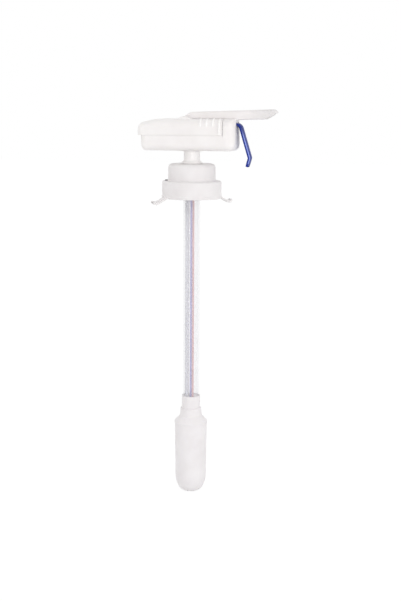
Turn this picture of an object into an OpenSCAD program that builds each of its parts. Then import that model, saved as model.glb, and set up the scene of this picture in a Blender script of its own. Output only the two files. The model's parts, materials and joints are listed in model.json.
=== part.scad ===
// Battery jug pump: a bottle collar that carries a swivelling tap head, and a motor pump on a clear riser.
// Millimetres. The origin is the centre of the collar's mouth, +Z is up and +X points to the spout.

/* [Collar] */
// Bore of the wide skirt
skirt_bore_d = 49.4; // [47:0.2:53]
// Wall of the skirt
skirt_wall = 2.7; // [1.6:0.1:3]
// Height of the skirt
skirt_h = 16; // [13:0.5:20]
// Bore of the narrow crown
crown_bore_d = 38.6; // [36:0.2:40]
// Wall of the crown
crown_wall = 2.5; // [1.6:0.1:2.6]
// Height of the crown above the skirt
crown_h = 15.5; // [14:0.5:20]
// Thickness of the crown's top
crown_top_t = 2.6; // [2:0.1:3.5]
// Thickness of the ledge between skirt and crown
ledge_t = 2.4; // [1.8:0.1:3]
// Width of a pull tab
tab_w = 9; // [8:0.5:16]
// Thickness of a pull tab
tab_t = 1.6; // [1.2:0.1:2.2]
// Reach of a pull tab beyond the skirt
tab_reach = 12; // [8:0.5:16]
// Drop of a pull tab below the collar's mouth
tab_drop = 4.6; // [2:0.2:7]
// Turn of the pull tabs from the spout's direction
tab_turn = 34; // [0:1:90]
// Lean of the second pull tab from the first one's line
tab_skew = 4; // [0:1:8]

/* [Stem] */
// Diameter of the neck
stem_d = 14.8; // [14:0.2:16]
// Bore of the neck
stem_bore_d = 9.8; // [9.6:0.1:10.4]
// Length of the neck between collar and head
neck_len = 12.1; // [9:0.1:18]
// Diameter of the flared foot of the neck
flare_d = 19.2; // [18:0.2:24]
// Diameter of the journal in the collar
journal_d = 16.4; // [16:0.1:17]

/* [Head] */
// Width of the head
head_w = 38; // [37:0.5:42]
// Height of the head
head_h = 28.6; // [28:0.2:32]
// Room in the housing behind the battery tray
rear_room = 4.2; // [3:0.2:10]
// Reach of the housing in front of the neck
head_front = 42.5; // [41.5:0.2:46]
// Wall of the shells
wall = 1.8; // [1.4:0.1:2]
// Height of the seam above the head's underside
seam_h = 13.7; // [12.5:0.1:15]
// Place of the cover's front edge in front of the neck
nose_x = 31.6; // [30.6:0.1:32]
// How far the cover overhangs the housing at the rear
cover_overhang = 3; // [1:0.1:4]
// Length of the cover's sloping back
back_len = 27; // [20:0.5:28]
// Drop of the cover's sloping back
back_drop = 7.5; // [6:0.1:8]
// Number of grip ribs on each side of the cover
rib_count = 4; // [2:1:5]
// Spacing of the grip ribs
rib_pitch = 5.8; // [4:0.1:6.5]
// How far a grip rib stands out
rib_out = 0.9; // [0.3:0.1:1.2]

/* [Spout] */
// Width of the spout
spout_w = 14; // [12:0.5:16]
// Reach of the spout's tip in front of the neck
spout_tip = 79; // [70:0.5:90]
// Height of the spout's top above the head, at its rear end
spine_h = 6; // [5.6:0.1:8]
// Rise of the spout's top towards its tip
spout_rise = 2.7; // [0:0.1:3]
// Depth of the spout at its tip
spout_depth = 9; // [8:0.1:10]

/* [Lever] */
// Width of the lever
lever_w = 14; // [12:0.5:15]
// Thickness of the lever
lever_t = 2.3; // [1.8:0.1:2.8]
// Length of the lever's straight run
lever_len = 27; // [20:0.5:34]
// Lean of the lever's straight run from upright
lever_lean = 17; // [12:1:22]
// Length of the lever's toe
toe_len = 7.6; // [4:0.2:10]
// Diameter of a lever pin
pin_d = 2.4; // [2:0.1:2.8]

/* [Cells] */
// Diameter of a cell
cell_d = 14.3; // [13.5:0.1:14.5]
// Length of a cell with its nub
cell_len = 50.5; // [49.2:0.1:50.5]

/* [Riser] */
// Outside diameter of the riser tube
riser_d = 16; // [15.8:0.1:16.3]
// Wall of the riser tube
riser_wall = 1.4; // [1:0.05:1.5]
// Length of the riser tube
riser_len = 228; // [160:1:300]
// Outside diameter of the water hose
hose_d = 5; // [4.6:0.1:5]
// Bore of the water hose
hose_bore_d = 3.2; // [2.8:0.1:3.4]
// Diameter of a wire
wire_d = 1.8; // [1.4:0.1:1.9]

/* [Pump] */
// Diameter of the pump at its ridge
pump_d = 31.2; // [30.6:0.1:34]
// Height of the pump below its ridge
pump_h = 67.3; // [66:0.1:74]
// Height of the tube socket
socket_h = 14.8; // [9:0.1:16]
// Wall of the tube socket
socket_wall = 0.6; // [0.6:0.05:1]
// Height of the pump cap between socket and ridge
cap_h = 12; // [10:0.1:15]
// Wall of the pump cup
cup_wall = 2.1; // [1.9:0.1:2.2]
// Diameter of the cup's flat foot
foot_d = 12.8; // [12.4:0.2:14]
// Diameter of the impeller
impeller_d = 16; // [12:0.5:17]
// Number of impeller vanes
vane_count = 5; // [3:1:8]
// Diameter of the motor shaft
shaft_d = 2; // [1.6:0.1:2.3]

/* [Clearances] */
// Radial clearance of pressed and glued fits
fit_clear = 0.05; // [0.02:0.01:0.08]
// Radial clearance of turning fits
run_clear = 0.06; // [0.03:0.01:0.1]
// Gap between shells that meet
seam_gap = 0.15; // [0.1:0.05:0.3]
// Gap beside sliding and swinging pieces
slide_gap = 0.3; // [0.2:0.05:0.4]

/* [Hidden] */
$fn = 64;
eps = 0.01;
// Depth by which united bodies sink into each other
sink = 0.3;

// Collar
skirt_bore_r = skirt_bore_d / 2;
skirt_r = skirt_bore_r + skirt_wall;
crown_bore_r = crown_bore_d / 2;
crown_r = crown_bore_r + crown_wall;
cap_top = skirt_h + crown_h;
rim_h = 2.2;
rim_out = 0.4;
ledge_round = 1.8;
crown_round = 3.8;
tab_root_z = rim_h / 2;
tab_hook = [2.4, 2.4];
vent_d = 2;
vent_inset = 1.15;
vent_turn = 196;
vent_at = (crown_r + skirt_r) / 2 - vent_inset;
valve_head_r = 1.3;
valve_head_h = 1;
valve_bore_r = 0.35;
valve_chamfer = 0.3;

// Stem and swivel
stem_r = stem_d / 2;
stem_bore_r = stem_bore_d / 2;
journal_r = journal_d / 2;
flare_r = flare_d / 2;
bush_wall = 2.8;
bush_r = journal_r + run_clear + bush_wall;
hub_r = bush_r + fit_clear;
bush_flange = 3;
bush_flange_t = 1.4;
bush_bottom = cap_top - crown_top_t - bush_flange_t;
clip_t = 1;
clip_depth = 0.9;
clip_out = 2.2;
clip_top = bush_bottom - slide_gap;
clip_bottom = clip_top - clip_t;
clip_step = 1.2;
clip_mouth = 4;
journal_bottom = clip_bottom - clip_step;
seal_cord = 1.1;
seal_z = cap_top - crown_top_t / 2;
seal_groove = seal_cord + 0.3;
seal_c = journal_r - seal_cord / 2 - run_clear / 2;
thrust_gap = 0.15;
flare_rim = 1.3;
flare_fillet = 3.4;
flare_z = cap_top + thrust_gap;
spigot_len = 13;
riser_r = riser_d / 2;
riser_bore_r = riser_r - riser_wall;
spigot_r = riser_bore_r - fit_clear;
spigot_bottom = journal_bottom - spigot_len;

// Head shells
head_z = cap_top + neck_len;
head_top = head_z + head_h;
floor_z = head_z + wall;
seam_z = head_z + seam_h;
half_w = head_w / 2;
inner_w = half_w - wall;
plan_rear_r = 6;
plan_front_r = 9;
section_low_r = 6;
section_top_r = 8;
low_rear_r = 5.5;
low_front_r = 5;
rake_z = head_z + 8.4;
rake = 0.6;
nose_edge = 1.5;
nose_top = head_top - wall;
nut_t = 2.2;
nut_r = 10.4;
stem_top = floor_z + nut_t;
neck_boss_h = 0.9;
neck_boss_w = 1.3;

// Rails that guide the cover
rail_t = 1.4;
rail_h = 2.6;
rail_root = 2.7;
rail_out = inner_w - seam_gap;
rail_in = rail_out - rail_t;
rail_front = nose_x - 1.6;
bead_out = 0.7;
bead_h = 1;
bead_z = seam_z + 1.2;

// Cells, tray and contacts
hose_r = hose_d / 2;
hose_bore_r = hose_bore_d / 2;
hose_sides = 12;
hose_lift = 0.35;
hose_z = stem_top + hose_lift + hose_r;
tray_z = hose_z + hose_r + 0.25;
tray_t = 1;
tray_hw = rail_in - slide_gap;
cell_r = cell_d / 2;
cell_lift = 0.1;
cell_z = tray_z + tray_t + cell_lift + cell_r;
cell_y = cell_r + 0.45;
nub_r = 2.75;
nub_h = 1;
contact_t = 0.4;
contact_w = 9;
contact_h = 9;
coil_len = 4.6;
coil_wire = 0.8;
coil_turns = 4;
coil_r = 4.6;
coil_taper = 1.6;
touch = 0.05;
bay_len = cell_len + coil_len + 2 * contact_t + 2 * touch;
end_t = 1.4;
end_h = cell_r + 4;
tail_w = 2.6;
tail_low = tray_z - 3.4;
shelf_w = 3.4;
shelf_t = 1.6;
shelf_short = 2;
tray_boss_r = 2.8;
tray_screw_r = 1;
tray_screw_head_r = 1.9;
tray_screw_head_h = 1.2;
tray_screw_len = 5;
cross_l = 2.4;
cross_w = 0.6;
cross_depth = 0.6;

// Lever and its bearings
pin_r = pin_d / 2;
pivot_back = 8.2;
pivot_x = head_front - pivot_back;
pivot_z = head_top - 6;
arm_gap = 3.8;
arm_out = lever_w / 2;
arm_rise = 12;
arm_run = 5.7;
shoulder_r = 5;
heel_r = 3;
toe_turn = 33;
boss_r = 2.7;
fork_x = head_front + 0.7;
finger_back = 2.2;
finger_t = 2;
finger_len = 6.8;
bearing_w = 2.5;
bearing_low = 2.8;
spring_turns = 3;
spring_wire = 0.6;
spring_pitch = 0.72;
spring_r = pin_r + 0.8;
spring_room = spring_turns * spring_pitch + spring_wire + 2 * slide_gap;
slot_drop = 2.2;
slot_lift = 3;
pin_reach = half_w - 3.2;

// Micro switch
plunger_drop = 5;
plunger_r = 0.9;
plunger_out = 1.4;
plunger_in = 2.4;
plunger_hold = 0.9;
case_l = 6.5;
case_w = 5.8;
case_h = 12.8;
case_top = 2;
switch_y = -(arm_gap + arm_out) / 2;
plunger_z = pivot_z - plunger_drop;
plunger_tip = pivot_x - finger_back - slide_gap;
case_x = plunger_tip - plunger_out - case_l;
case_z = plunger_z + case_top - case_h;
post_r = 0.95;
post_z = [3.2, 9.7];
post_x = 1.7;
bracket_t = 1.8;
blade_l = 3;
blade_t = 0.5;
blade_w = 1.6;
blade_z = [1.6, 6.4, 11.2];

// Battery tray behind the switch, and the shells' rear ends behind the tray
tray_to_blade = 0.7;
tray_front = case_x - blade_l - tray_to_blade;
bay_front = tray_front - end_t;
bay_rear = bay_front - bay_len;
tray_rear = bay_rear - end_t;
tray_screw_x = [tray_rear + 2 * tray_boss_r, -nut_r - tray_boss_r - wall];
rail_rear = tray_rear + 10.6;
head_rear = rear_room + wall - tray_rear;
cover_rear = head_rear + cover_overhang;

// Spout
spine_rear = -9.3;
spine_slope = 9;
spine_top = head_top + spine_h;
spine_clear = 0.3;
tip_top = spine_top + spout_rise;
tip_back = 10.5;
tip_nose = 3.2;
tip_drop = 2.4;
spout_edge_r = 2.2;
spout_tip_r = 6.8;
channel_wall = 3;
channel_h = 3.8;
channel_low = head_top + 1.2;
spine_hollow_wall = 1.5;
plate_rear = nose_x + seam_gap;
barb_x = plate_rear + 2.6;
barb_r = hose_bore_r * cos(180 / hose_sides) - fit_clear;
barb_bore_r = 1;
barb_len = 9;
barb_flange_r = 2.4;
barb_flange_t = 1.2;
barb_chamfer = 0.3;
barb_lead = 1.4;

// Cover details
rib_w = 1.8;
rib_front = nose_x - 3.2;
rib_top = head_top + rib_out;
rib_drop = 7;
hump_len = 13;
hump_h = 2.4;
hump_w = 6.5;
hump_x = -4.5;
hump_y = spout_w / 2 + 1.2 + hump_w / 2;
hump_r = (hump_len * hump_len / 4 + hump_h * hump_h) / (2 * hump_h);

// Riser and pump levels, counted down from the riser's top
riser_bottom = journal_bottom - riser_len;
socket_top = riser_bottom + socket_h;
socket_r = riser_r + fit_clear + socket_wall;
ring_out = 1.05;
ring_flare = 0.8;
ring_h = 7.7;
ring_bottom = riser_bottom - 5;
ring_top = ring_bottom + ring_h;
ridge_z = riser_bottom - cap_h;
pump_bottom = ridge_z - pump_h;
pump_r = pump_d / 2;
ridge_step = 0.35;
ridge_t = 1.7;
throat_r = 6.4;
cap_wall = 1.5;
cup_r = pump_r - ridge_step;
cup_taper = 0.55;
cup_round_h = 16.5;
cup_round_z = pump_bottom + cup_round_h;
foot_r = foot_d / 2;
cup_bore_r = cup_r - cup_wall;
skirt_in_t = 1.3;
skirt_in_h = 4;
pump_seal_cord = 1;
pump_seal_z = ridge_z - skirt_in_h / 2;
shaft_r = shaft_d / 2;
strainer_r = foot_r - 1.8;
strainer_t = 1.6;
strainer_flange = 1.2;
strainer_flange_t = 0.8;
slot_pitch = 1.5;
slot_w = 0.8;
slot_l = 5.2;
sump_r = 6.6;
sump_top = pump_bottom + 8.5;
plate_t = 1.5;
eye_r = 3.4;
impeller_r = impeller_d / 2;
chamber_r = impeller_r + 1.2;
chamber_h = 7.4;
chamber_top = sump_top + plate_t + chamber_h;
motor_plate_t = 4;
motor_plate_low = 1.5;
motor_plate_step = chamber_top + motor_plate_low;
motor_z = motor_plate_step + motor_plate_t;
motor_r = 10.05;
motor_flat = 7.55;
motor_len = 25;
motor_wall = 0.8;
motor_nose_r = 3;
motor_nose_h = 1.6;
motor_bush_r = shaft_r + 0.8;
motor_top = motor_z + motor_len;
bell_t = 2.5;
bell_boss_r = 4.2;
bell_boss_h = 1;
bell_top = motor_top + bell_t;
terminal_x = 6.4;
terminal_h = 5;
terminal_w = 2;
terminal_t = 0.5;
magnet_t = 2;
magnet_gap = 0.1;
magnet_low = 2.8;
magnet_len = 19;
magnet_half = 5.8;
armature_r = 6.6;
armature_len = 15;
armature_low = 4;
pole_in = 2;
pole_half = 48;
winding_r = 5.4;
commutator_r = 2.6;
commutator_len = 5;
bar_gap = 0.4;
bar_gap_depth = 0.5;
impeller_low = sump_top + plate_t + 0.7;
impeller_h = 5.9;
impeller_disc_t = 1.2;
impeller_hub_r = 2.6;
vane_t = 1;
vane_len = impeller_r - impeller_hub_r - 0.4;
vane_sweep = 30;
seal_r = 3.2;
seal_t = 2;
pipe_y = cup_bore_r - 2.7;
pipe_r = 2.2;
pipe_bore_r = 1.3;
pipe_spigot_r = 1.8;
pipe_spigot_h = 2;
pipe_top = motor_top - 8;
pipe_barb_h = 5;
pipe_barb_wall = 0.5;

// Gland at the top of the pump, with the places where hose and wires pass through it
gland_h = 4;
gland_top = socket_top - 0.8;
gland_bottom = gland_top - gland_h;
tube_end = riser_bottom - 4.6;
wire_r = wire_d / 2;
red_at = [2.3, -3];
blue_at = [0.35, -3.15];
hose_at = [-3.4, 0.9];
red_neck = [0.9, -3.2];
blue_neck = [-1.2, -3.2];
blue_swing = [-3, -5];
hose_neck = [-1.6, 1.2];

// Routes, from the head down to the pump
wire_z = stem_top + 1.4;
neck_z = stem_top - 2;
bend_top = spigot_bottom + 2;
bend_bottom = spigot_bottom - 14;
side_x = tray_front + wire_r + 0.3;
red_route = [
    [case_x - blade_l + 0.4, switch_y + blade_t / 2 + wire_r + touch, case_z + blade_z[1]],
    [side_x + 0.2, -3.6, case_z + 0.6],
    [side_x, -3.8, wire_z + 0.6],
    [18, -4.4, wire_z],
    [7, -5, wire_z],
    [1.6, -3.6, wire_z],
    [red_neck.x, red_neck.y, neck_z],
    [red_neck.x, red_neck.y, bend_top],
    [red_at.x, red_at.y, bend_bottom],
    [red_at.x, red_at.y, tube_end - 3],
    [terminal_x + terminal_t / 2 + wire_r + touch, 0, bell_top + terminal_h + 4],
    [terminal_x + terminal_t / 2 + wire_r + touch, 0, bell_top + 1]
];
blue_route = [
    [bay_front - contact_t - wire_r - touch, cell_y, tail_low + 0.4],
    [bay_front - contact_t - wire_r - touch - 2, cell_y + 0.4, wire_z],
    [8, 8.4, wire_z],
    [-2, 8.2, wire_z],
    [-6.6, 5, wire_z],
    [-6.4, 0, wire_z],
    [-2.2, -3.2, wire_z],
    [blue_neck.x, blue_neck.y, neck_z],
    [blue_neck.x, blue_neck.y, bend_top],
    [blue_at.x, blue_at.y, bend_bottom],
    [blue_at.x, blue_at.y, tube_end - 3],
    [blue_swing.x, blue_swing.y, tube_end - 8.4],
    [-terminal_x - terminal_t / 2 - wire_r - touch, 0, bell_top + terminal_h + 4],
    [-terminal_x - terminal_t / 2 - wire_r - touch, 0, bell_top + 1]
];
lead_route = [
    [bay_front - contact_t - wire_r - touch, -cell_y, tail_low + 0.4],
    [bay_front - contact_t - wire_r - touch + 0.6, -cell_y, wire_z + 0.1],
    [side_x + 0.3, switch_y - blade_t / 2 - wire_r - touch - 0.6, wire_z + 0.1],
    [case_x - blade_l + 1.2, switch_y - blade_t / 2 - wire_r - touch, case_z + blade_z[0] + 0.6]
];
hose_route = [
    [barb_x, 0, nose_top - barb_flange_t - 3],
    [barb_x, 0, hose_z],
    [14, 1, hose_z],
    [hose_neck.x, hose_neck.y, hose_z],
    [hose_neck.x, hose_neck.y, bend_top],
    [hose_at.x, hose_at.y, bend_bottom],
    [hose_at.x, hose_at.y, tube_end - 7],
    [0, pipe_y, bell_top + 4],
    [0, pipe_y, pipe_top + touch]
];

// Points of an arc and of an oval
function arc(c, r, a0, a1, n = 8) =
    [for (i = [0:n]) c + r * [cos(a0 + (a1 - a0) * i / n), sin(a0 + (a1 - a0) * i / n)]];
function oval(c, rx, ry, a0, a1, n = 12) =
    [for (i = [0:n]) let (a = a0 + (a1 - a0) * i / n) [c.x + rx * cos(a), c.y + ry * sin(a)]];

// Outlines of the head, drawn in by i
function side_pts(i, rear) = let (zt = head_top - i) concat(
    arc([head_front - low_front_r, head_z + low_front_r], low_front_r - i, -90, 0),
    [[head_front - i, rake_z], [head_front - rake - i, zt - nose_edge]],
    [[head_front - rake - nose_edge - i, zt]],
    oval([-rear + back_len, head_top - back_drop], back_len - i, back_drop - i, 90, 180),
    arc([-rear + low_rear_r, head_z + low_rear_r], low_rear_r - i, 180, 270));
function plan_pts(i, rear) = concat(
    arc([-rear + plan_rear_r, plan_rear_r - half_w], plan_rear_r - i, 180, 270),
    arc([head_front - plan_front_r, plan_front_r - half_w], plan_front_r - i, 270, 360),
    arc([head_front - plan_front_r, half_w - plan_front_r], plan_front_r - i, 0, 90),
    arc([-rear + plan_rear_r, half_w - plan_rear_r], plan_rear_r - i, 90, 180));
function section_pts(i) = concat(
    arc([half_w - section_low_r, head_z + section_low_r], section_low_r - i, -90, 0),
    arc([half_w - section_top_r, head_top - section_top_r], section_top_r - i, 0, 90),
    arc([section_top_r - half_w, head_top - section_top_r], section_top_r - i, 90, 180),
    arc([section_low_r - half_w, head_z + section_low_r], section_low_r - i, 180, 270));

// Place of the lever's middle line: pivot, arm, shoulder, straight run, heel and toe
function heading(a) = [cos(a), sin(a)];
function across(d) = [-d.y, d.x] / norm(d);
run_turn = lever_lean - 90;
toe_heading = run_turn - toe_turn;
arm_end = [pivot_x, pivot_z] + arm_run * heading(arm_rise);
shoulder_c = arm_end + shoulder_r * heading(arm_rise - 90);
run_start = shoulder_c + shoulder_r * heading(run_turn + 90);
run_end = run_start + lever_len * heading(run_turn);
heel_c = run_end + heel_r * heading(run_turn - 90);
lever_path = concat(
    [[pivot_x, pivot_z]],
    arc(shoulder_c, shoulder_r, arm_rise + 90, run_turn + 90, 8),
    arc(heel_c, heel_r, run_turn + 90, toe_heading + 90, 4),
    [heel_c + heel_r * heading(toe_heading + 90) + toe_len * heading(toe_heading)]);

// Route with its corners rounded: each inner point becomes a short curve
function toward(p, q, d) = p + (q - p) * min(0.45, d / norm(q - p));
function rounded(p, d, n) = concat([p[0]],
    [for (i = [1:len(p) - 2]) let (a = toward(p[i], p[i - 1], d), b = toward(p[i], p[i + 1], d))
        for (k = [0:n]) let (t = k / n) a * (1 - t) * (1 - t) + p[i] * 2 * t * (1 - t) + b * t * t],
    [p[len(p) - 1]]);

// Frames carried along a path without twist
function unit(v) = v / norm(v);
function tangent(p, i) = unit(p[min(i + 1, len(p) - 1)] - p[max(i - 1, 0)]);
function carry(u, t) = unit(u - (u * t) * t);
function side_dirs(p, u, i = 0) = i == len(p) ? [] :
    let (v = carry(u, tangent(p, i))) concat([v], side_dirs(p, v, i + 1));
function tube_rings(p, r, n, first) = let (d = side_dirs(p, first))
    [for (i = [0:len(p) - 1]) for (k = [0:n - 1])
        p[i] + r * (cos(360 * k / n) * d[i] + sin(360 * k / n) * cross(tangent(p, i), d[i]))];
function skin(m, n, base, flip) = [for (i = [0:m - 2]) for (k = [0:n - 1])
    let (a = base + i * n + k, b = base + i * n + (k + 1) % n)
    each flip ? [[a, a + n, b], [b, a + n, b + n]] : [[a, b, a + n], [b, b + n, a + n]]];

// Solid round wire along a path
module wire(p, r, n = 8, first = [0, 1, 0]) {
    m = len(p);
    last = (m - 1) * n;
    ends = [for (k = [1:n - 2]) each [[0, k, k + 1], [last, last + k + 1, last + k]]];
    polyhedron(tube_rings(p, r, n, first), concat(skin(m, n, 0, true), ends));
}

// Hollow hose along a path
module hose(p, ro, ri, n, first = [0, 1, 0]) {
    m = len(p);
    inner = m * n;
    last = (m - 1) * n;
    ends = [for (k = [0:n - 1]) let (j = (k + 1) % n) each [
        [k, j, inner + k], [j, inner + j, inner + k],
        [last + k, inner + last + k, last + j], [last + j, inner + last + k, inner + last + j]]];
    polyhedron(concat(tube_rings(p, ro, n, first), tube_rings(p, ri, n, first)),
        concat(skin(m, n, 0, true), skin(m, n, inner, false), ends));
}

// Flat strip of one thickness along a path in the drawing plane
module strip(p, t) {
    for (i = [0:len(p) - 2]) {
        d = p[i + 1] - p[i];
        translate(p[i]) rotate(atan2(d.y, d.x)) translate([0, -t / 2]) square([norm(d), t]);
        translate(p[i + 1]) circle(d = t);
    }
    translate(p[0]) circle(d = t);
}

// Box between two corners
module box(a, b) { translate(a) cube(b - a); }

// Cylinder along Y through a place in the X and Z plane
module rod_y(x, z, r, y0, y1) { translate([x, y0, z]) rotate([-90, 0, 0]) cylinder(r = r, h = y1 - y0); }

// Outer form of the head drawn in by i
module head_form(i, rear) {
    intersection() {
        rotate([90, 0, 0]) linear_extrude(head_w + 2, center = true) polygon(side_pts(i, rear));
        translate([0, 0, head_z - 1]) linear_extrude(head_h + 2) polygon(plan_pts(i, rear));
        translate([-rear - 1, 0, 0]) rotate([90, 0, 90]) linear_extrude(rear + head_front + 2)
            polygon(section_pts(i));
    }
}

// Pull tab that runs out and down from the rim, and turns up at its end
module pull_tab() {
    root = [skirt_r - tab_t / 2, tab_root_z];
    low = [skirt_r + tab_reach - tab_hook.x, -tab_drop];
    end = low + tab_hook;
    out = tab_t / 2 * across(low - root);
    up = tab_t / 2 * across(end - low);
    bend = (out + up) / (1 + out * up * 4 / tab_t / tab_t);
    rotate([90, 0, 0]) linear_extrude(tab_w, center = true)
        polygon([root + out, low + bend, end + up, end - up, low - bend, root - out]);
}

module bottle_collar() {
    color("gainsboro") difference() {
        union() {
            rotate_extrude() polygon(concat(
                [[skirt_bore_r, 0], [skirt_r + rim_out, 0]],
                [[skirt_r + rim_out, rim_h], [skirt_r, rim_h + rim_out]],
                arc([skirt_r - ledge_round, skirt_h - ledge_round], ledge_round, 0, 90),
                [[crown_r, skirt_h]],
                arc([crown_r - crown_round, cap_top - crown_round], crown_round, 0, 90),
                [[hub_r, cap_top], [hub_r, cap_top - crown_top_t], [crown_bore_r, cap_top - crown_top_t],
                    [crown_bore_r, skirt_h - ledge_t], [skirt_bore_r, skirt_h - ledge_t]]));
            for (turn = [0, 180 + tab_skew]) rotate(tab_turn + turn) pull_tab();
        }
        rotate(vent_turn) translate([vent_at, 0, skirt_h - ledge_t - 1])
            cylinder(d = vent_d, h = ledge_t + 2);
    }
}

// Rubber vent that lets air into the bottle, pressed into the ledge
module vent_valve() {
    r = vent_d / 2 - fit_clear;
    low = skirt_h - ledge_t + fit_clear;
    seat = skirt_h + fit_clear;
    top = seat + valve_head_h;
    color("dimgray") rotate(vent_turn) translate([vent_at, 0, 0]) rotate_extrude() polygon([
        [valve_bore_r, low], [r, low], [r, seat], [valve_head_r, seat],
        [valve_head_r, top - valve_chamfer], [valve_head_r - valve_chamfer, top], [valve_bore_r, top]]);
}

module swivel_bush() {
    color("whitesmoke") rotate_extrude() polygon([
        [journal_r + run_clear, bush_bottom], [bush_r + bush_flange, bush_bottom],
        [bush_r + bush_flange, bush_bottom + bush_flange_t], [bush_r, bush_bottom + bush_flange_t],
        [bush_r, cap_top], [journal_r + run_clear, cap_top]]);
}

module stem() {
    groove = seal_c - seal_cord / 2 - fit_clear;
    color("white") rotate_extrude() polygon(concat(
        [[stem_bore_r, spigot_bottom], [spigot_r, spigot_bottom], [spigot_r, journal_bottom],
            [journal_r, journal_bottom], [journal_r, clip_bottom], [journal_r - clip_depth, clip_bottom],
            [journal_r - clip_depth, clip_top], [journal_r, clip_top],
            [journal_r, seal_z - seal_groove / 2], [groove, seal_z - seal_groove / 2],
            [groove, seal_z + seal_groove / 2], [journal_r, seal_z + seal_groove / 2],
            [journal_r, flare_z], [flare_r, flare_z]],
        oval([flare_r, flare_z + flare_rim + flare_fillet], flare_r - stem_r, flare_fillet, 270, 180, 8),
        [[stem_r, stem_top], [stem_bore_r, stem_top]]));
}

module stem_seal_ring() {
    color("dimgray") translate([0, 0, seal_z]) rotate_extrude()
        translate([seal_c, 0]) circle(d = seal_cord);
}

module stem_retaining_clip() {
    clip_in = journal_r - clip_depth + fit_clear;
    color("silver") translate([0, 0, clip_bottom]) difference() {
        cylinder(r = journal_r + clip_out, h = clip_t);
        translate([0, 0, -1]) cylinder(r = clip_in, h = clip_t + 2);
        translate([clip_in / 2, -clip_mouth / 2, -1]) cube([clip_in + clip_out, clip_mouth, clip_t + 2]);
    }
}

module stem_nut() {
    color("whitesmoke") translate([0, 0, floor_z]) difference() {
        cylinder(r = nut_r, h = nut_t, $fn = 6);
        translate([0, 0, -1]) cylinder(r = stem_r + fit_clear, h = nut_t + 2);
    }
}

// Rail with its bead on one side of the housing
module cover_rail() {
    box([rail_rear, rail_in, seam_z - rail_root], [rail_front, inner_w + sink, seam_z - sink]);
    box([rail_rear, rail_in, seam_z - rail_root], [rail_front, rail_out, seam_z + rail_h]);
    box([rail_rear, rail_out - sink, bead_z], [rail_front, rail_out + bead_out, bead_z + bead_h]);
}

// Pin bearings beside the lever's two arms: the far one leaves room for the return spring
function bearing_y(side) = arm_out + (side > 0 ? spring_room : slide_gap);

module lever_bearing(side) {
    y = bearing_y(side);
    translate([0, side > 0 ? y : -y - bearing_w, 0])
        box([nose_x + seam_gap, 0, pivot_z - bearing_low], [head_front, bearing_w, nose_top]);
}

module tray_shelf() {
    box([tray_rear + shelf_short, tray_hw - shelf_w, tray_z - shelf_t],
        [tray_front - shelf_short, inner_w + sink, tray_z]);
}

module switch_bracket() {
    y = switch_y - case_w / 2 - touch;
    box([case_x, y - bracket_t, floor_z - sink], [case_x + case_l, y, case_z + case_h - 1]);
    for (z = post_z) rod_y(case_x + post_x, case_z + z, post_r, y - sink, y + case_w);
}

module main_housing() {
    color("white") difference() {
        union() {
            intersection() {
                difference() {
                    head_form(0, head_rear);
                    head_form(wall, head_rear);
                }
                union() {
                    box([-head_rear - 1, -half_w - 1, head_z - 1],
                        [head_front + 1, half_w + 1, seam_z - seam_gap]);
                    box([nose_x, -half_w - 1, head_z - 1], [head_front + 1, half_w + 1, nose_top]);
                }
            }
            cover_rail();
            mirror([0, 1, 0]) cover_rail();
            for (s = [0, 1]) mirror([0, s, 0]) tray_shelf();
            for (x = tray_screw_x) translate([x, 0, floor_z - sink])
                cylinder(r = tray_boss_r, h = tray_z - floor_z + sink);
            translate([0, 0, head_z - neck_boss_h])
                cylinder(r = stem_r + neck_boss_w, h = neck_boss_h + sink);
            intersection() {
                head_form(wall / 2, head_rear);
                for (side = [-1, 1]) lever_bearing(side);
            }
            switch_bracket();
        }
        translate([0, 0, head_z - neck_boss_h - 1]) cylinder(r = stem_r + fit_clear, h = nut_r);
        for (x = tray_screw_x) translate([x, 0, floor_z + 1])
            cylinder(r = tray_screw_r + fit_clear, h = tray_z - floor_z);
        translate([barb_x, 0, nose_top - barb_flange_t - slide_gap])
            cylinder(r = barb_flange_r + slide_gap, h = 2 * barb_flange_t);
        for (s = [0, 1]) mirror([0, s, 0])
            box([pivot_x, arm_gap - slide_gap, pivot_z - slot_drop],
                [head_front + 1, arm_out + slide_gap, pivot_z + slot_lift]);
        rod_y(pivot_x, pivot_z, pin_r + fit_clear / 2, -pin_reach, pin_reach);
    }
}

// Side of the spine and spout. Its upper corners stand past the rounded top, which cuts them off.
function past(p, q, times) = p + times * (q - p);
function spout_pts() = let (
    low = tip_top - spout_depth,
    rear = [spine_rear, head_top + spine_clear],
    nose = [spout_tip, tip_top - tip_drop]) [
    rear, past(rear, [spine_rear + spine_slope, spine_top], 1.5),
    past(nose, [spout_tip - tip_nose, tip_top], 3), nose,
    [spout_tip - tip_back, low], [plate_rear, head_top - 1.3], [plate_rear, head_top + spine_clear]];

module spout_bar() {
    tilt = atan2(spout_rise, spout_tip - tip_nose - spine_rear - spine_slope);
    hw = spout_w / 2;
    length = spout_tip - spine_rear;
    section = concat(
        [[hw, -40]],
        arc([hw - spout_edge_r, -spout_edge_r], spout_edge_r, 0, 90),
        arc([spout_edge_r - hw, -spout_edge_r], spout_edge_r, 90, 180),
        [[-hw, -40]]);
    plan = concat(
        [[spine_rear - 1, -hw - 1], [spout_tip - spout_tip_r, -hw - 1]],
        arc([spout_tip - spout_tip_r + eps, spout_tip_r - hw], spout_tip_r, 270, 360),
        arc([spout_tip - spout_tip_r + eps, hw - spout_tip_r], spout_tip_r, 0, 90),
        [[spout_tip - spout_tip_r, hw + 1], [spine_rear - 1, hw + 1]]);
    intersection() {
        rotate([90, 0, 0]) linear_extrude(spout_w + 2, center = true) polygon(spout_pts());
        translate([0, 0, head_z]) linear_extrude(2 * head_h) polygon(plan);
        translate([spine_rear + spine_slope, 0, spine_top]) rotate([0, -tilt, 0]) translate([-length, 0, 0])
            rotate([90, 0, 90]) linear_extrude(3 * length) polygon(section);
    }
}

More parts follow.
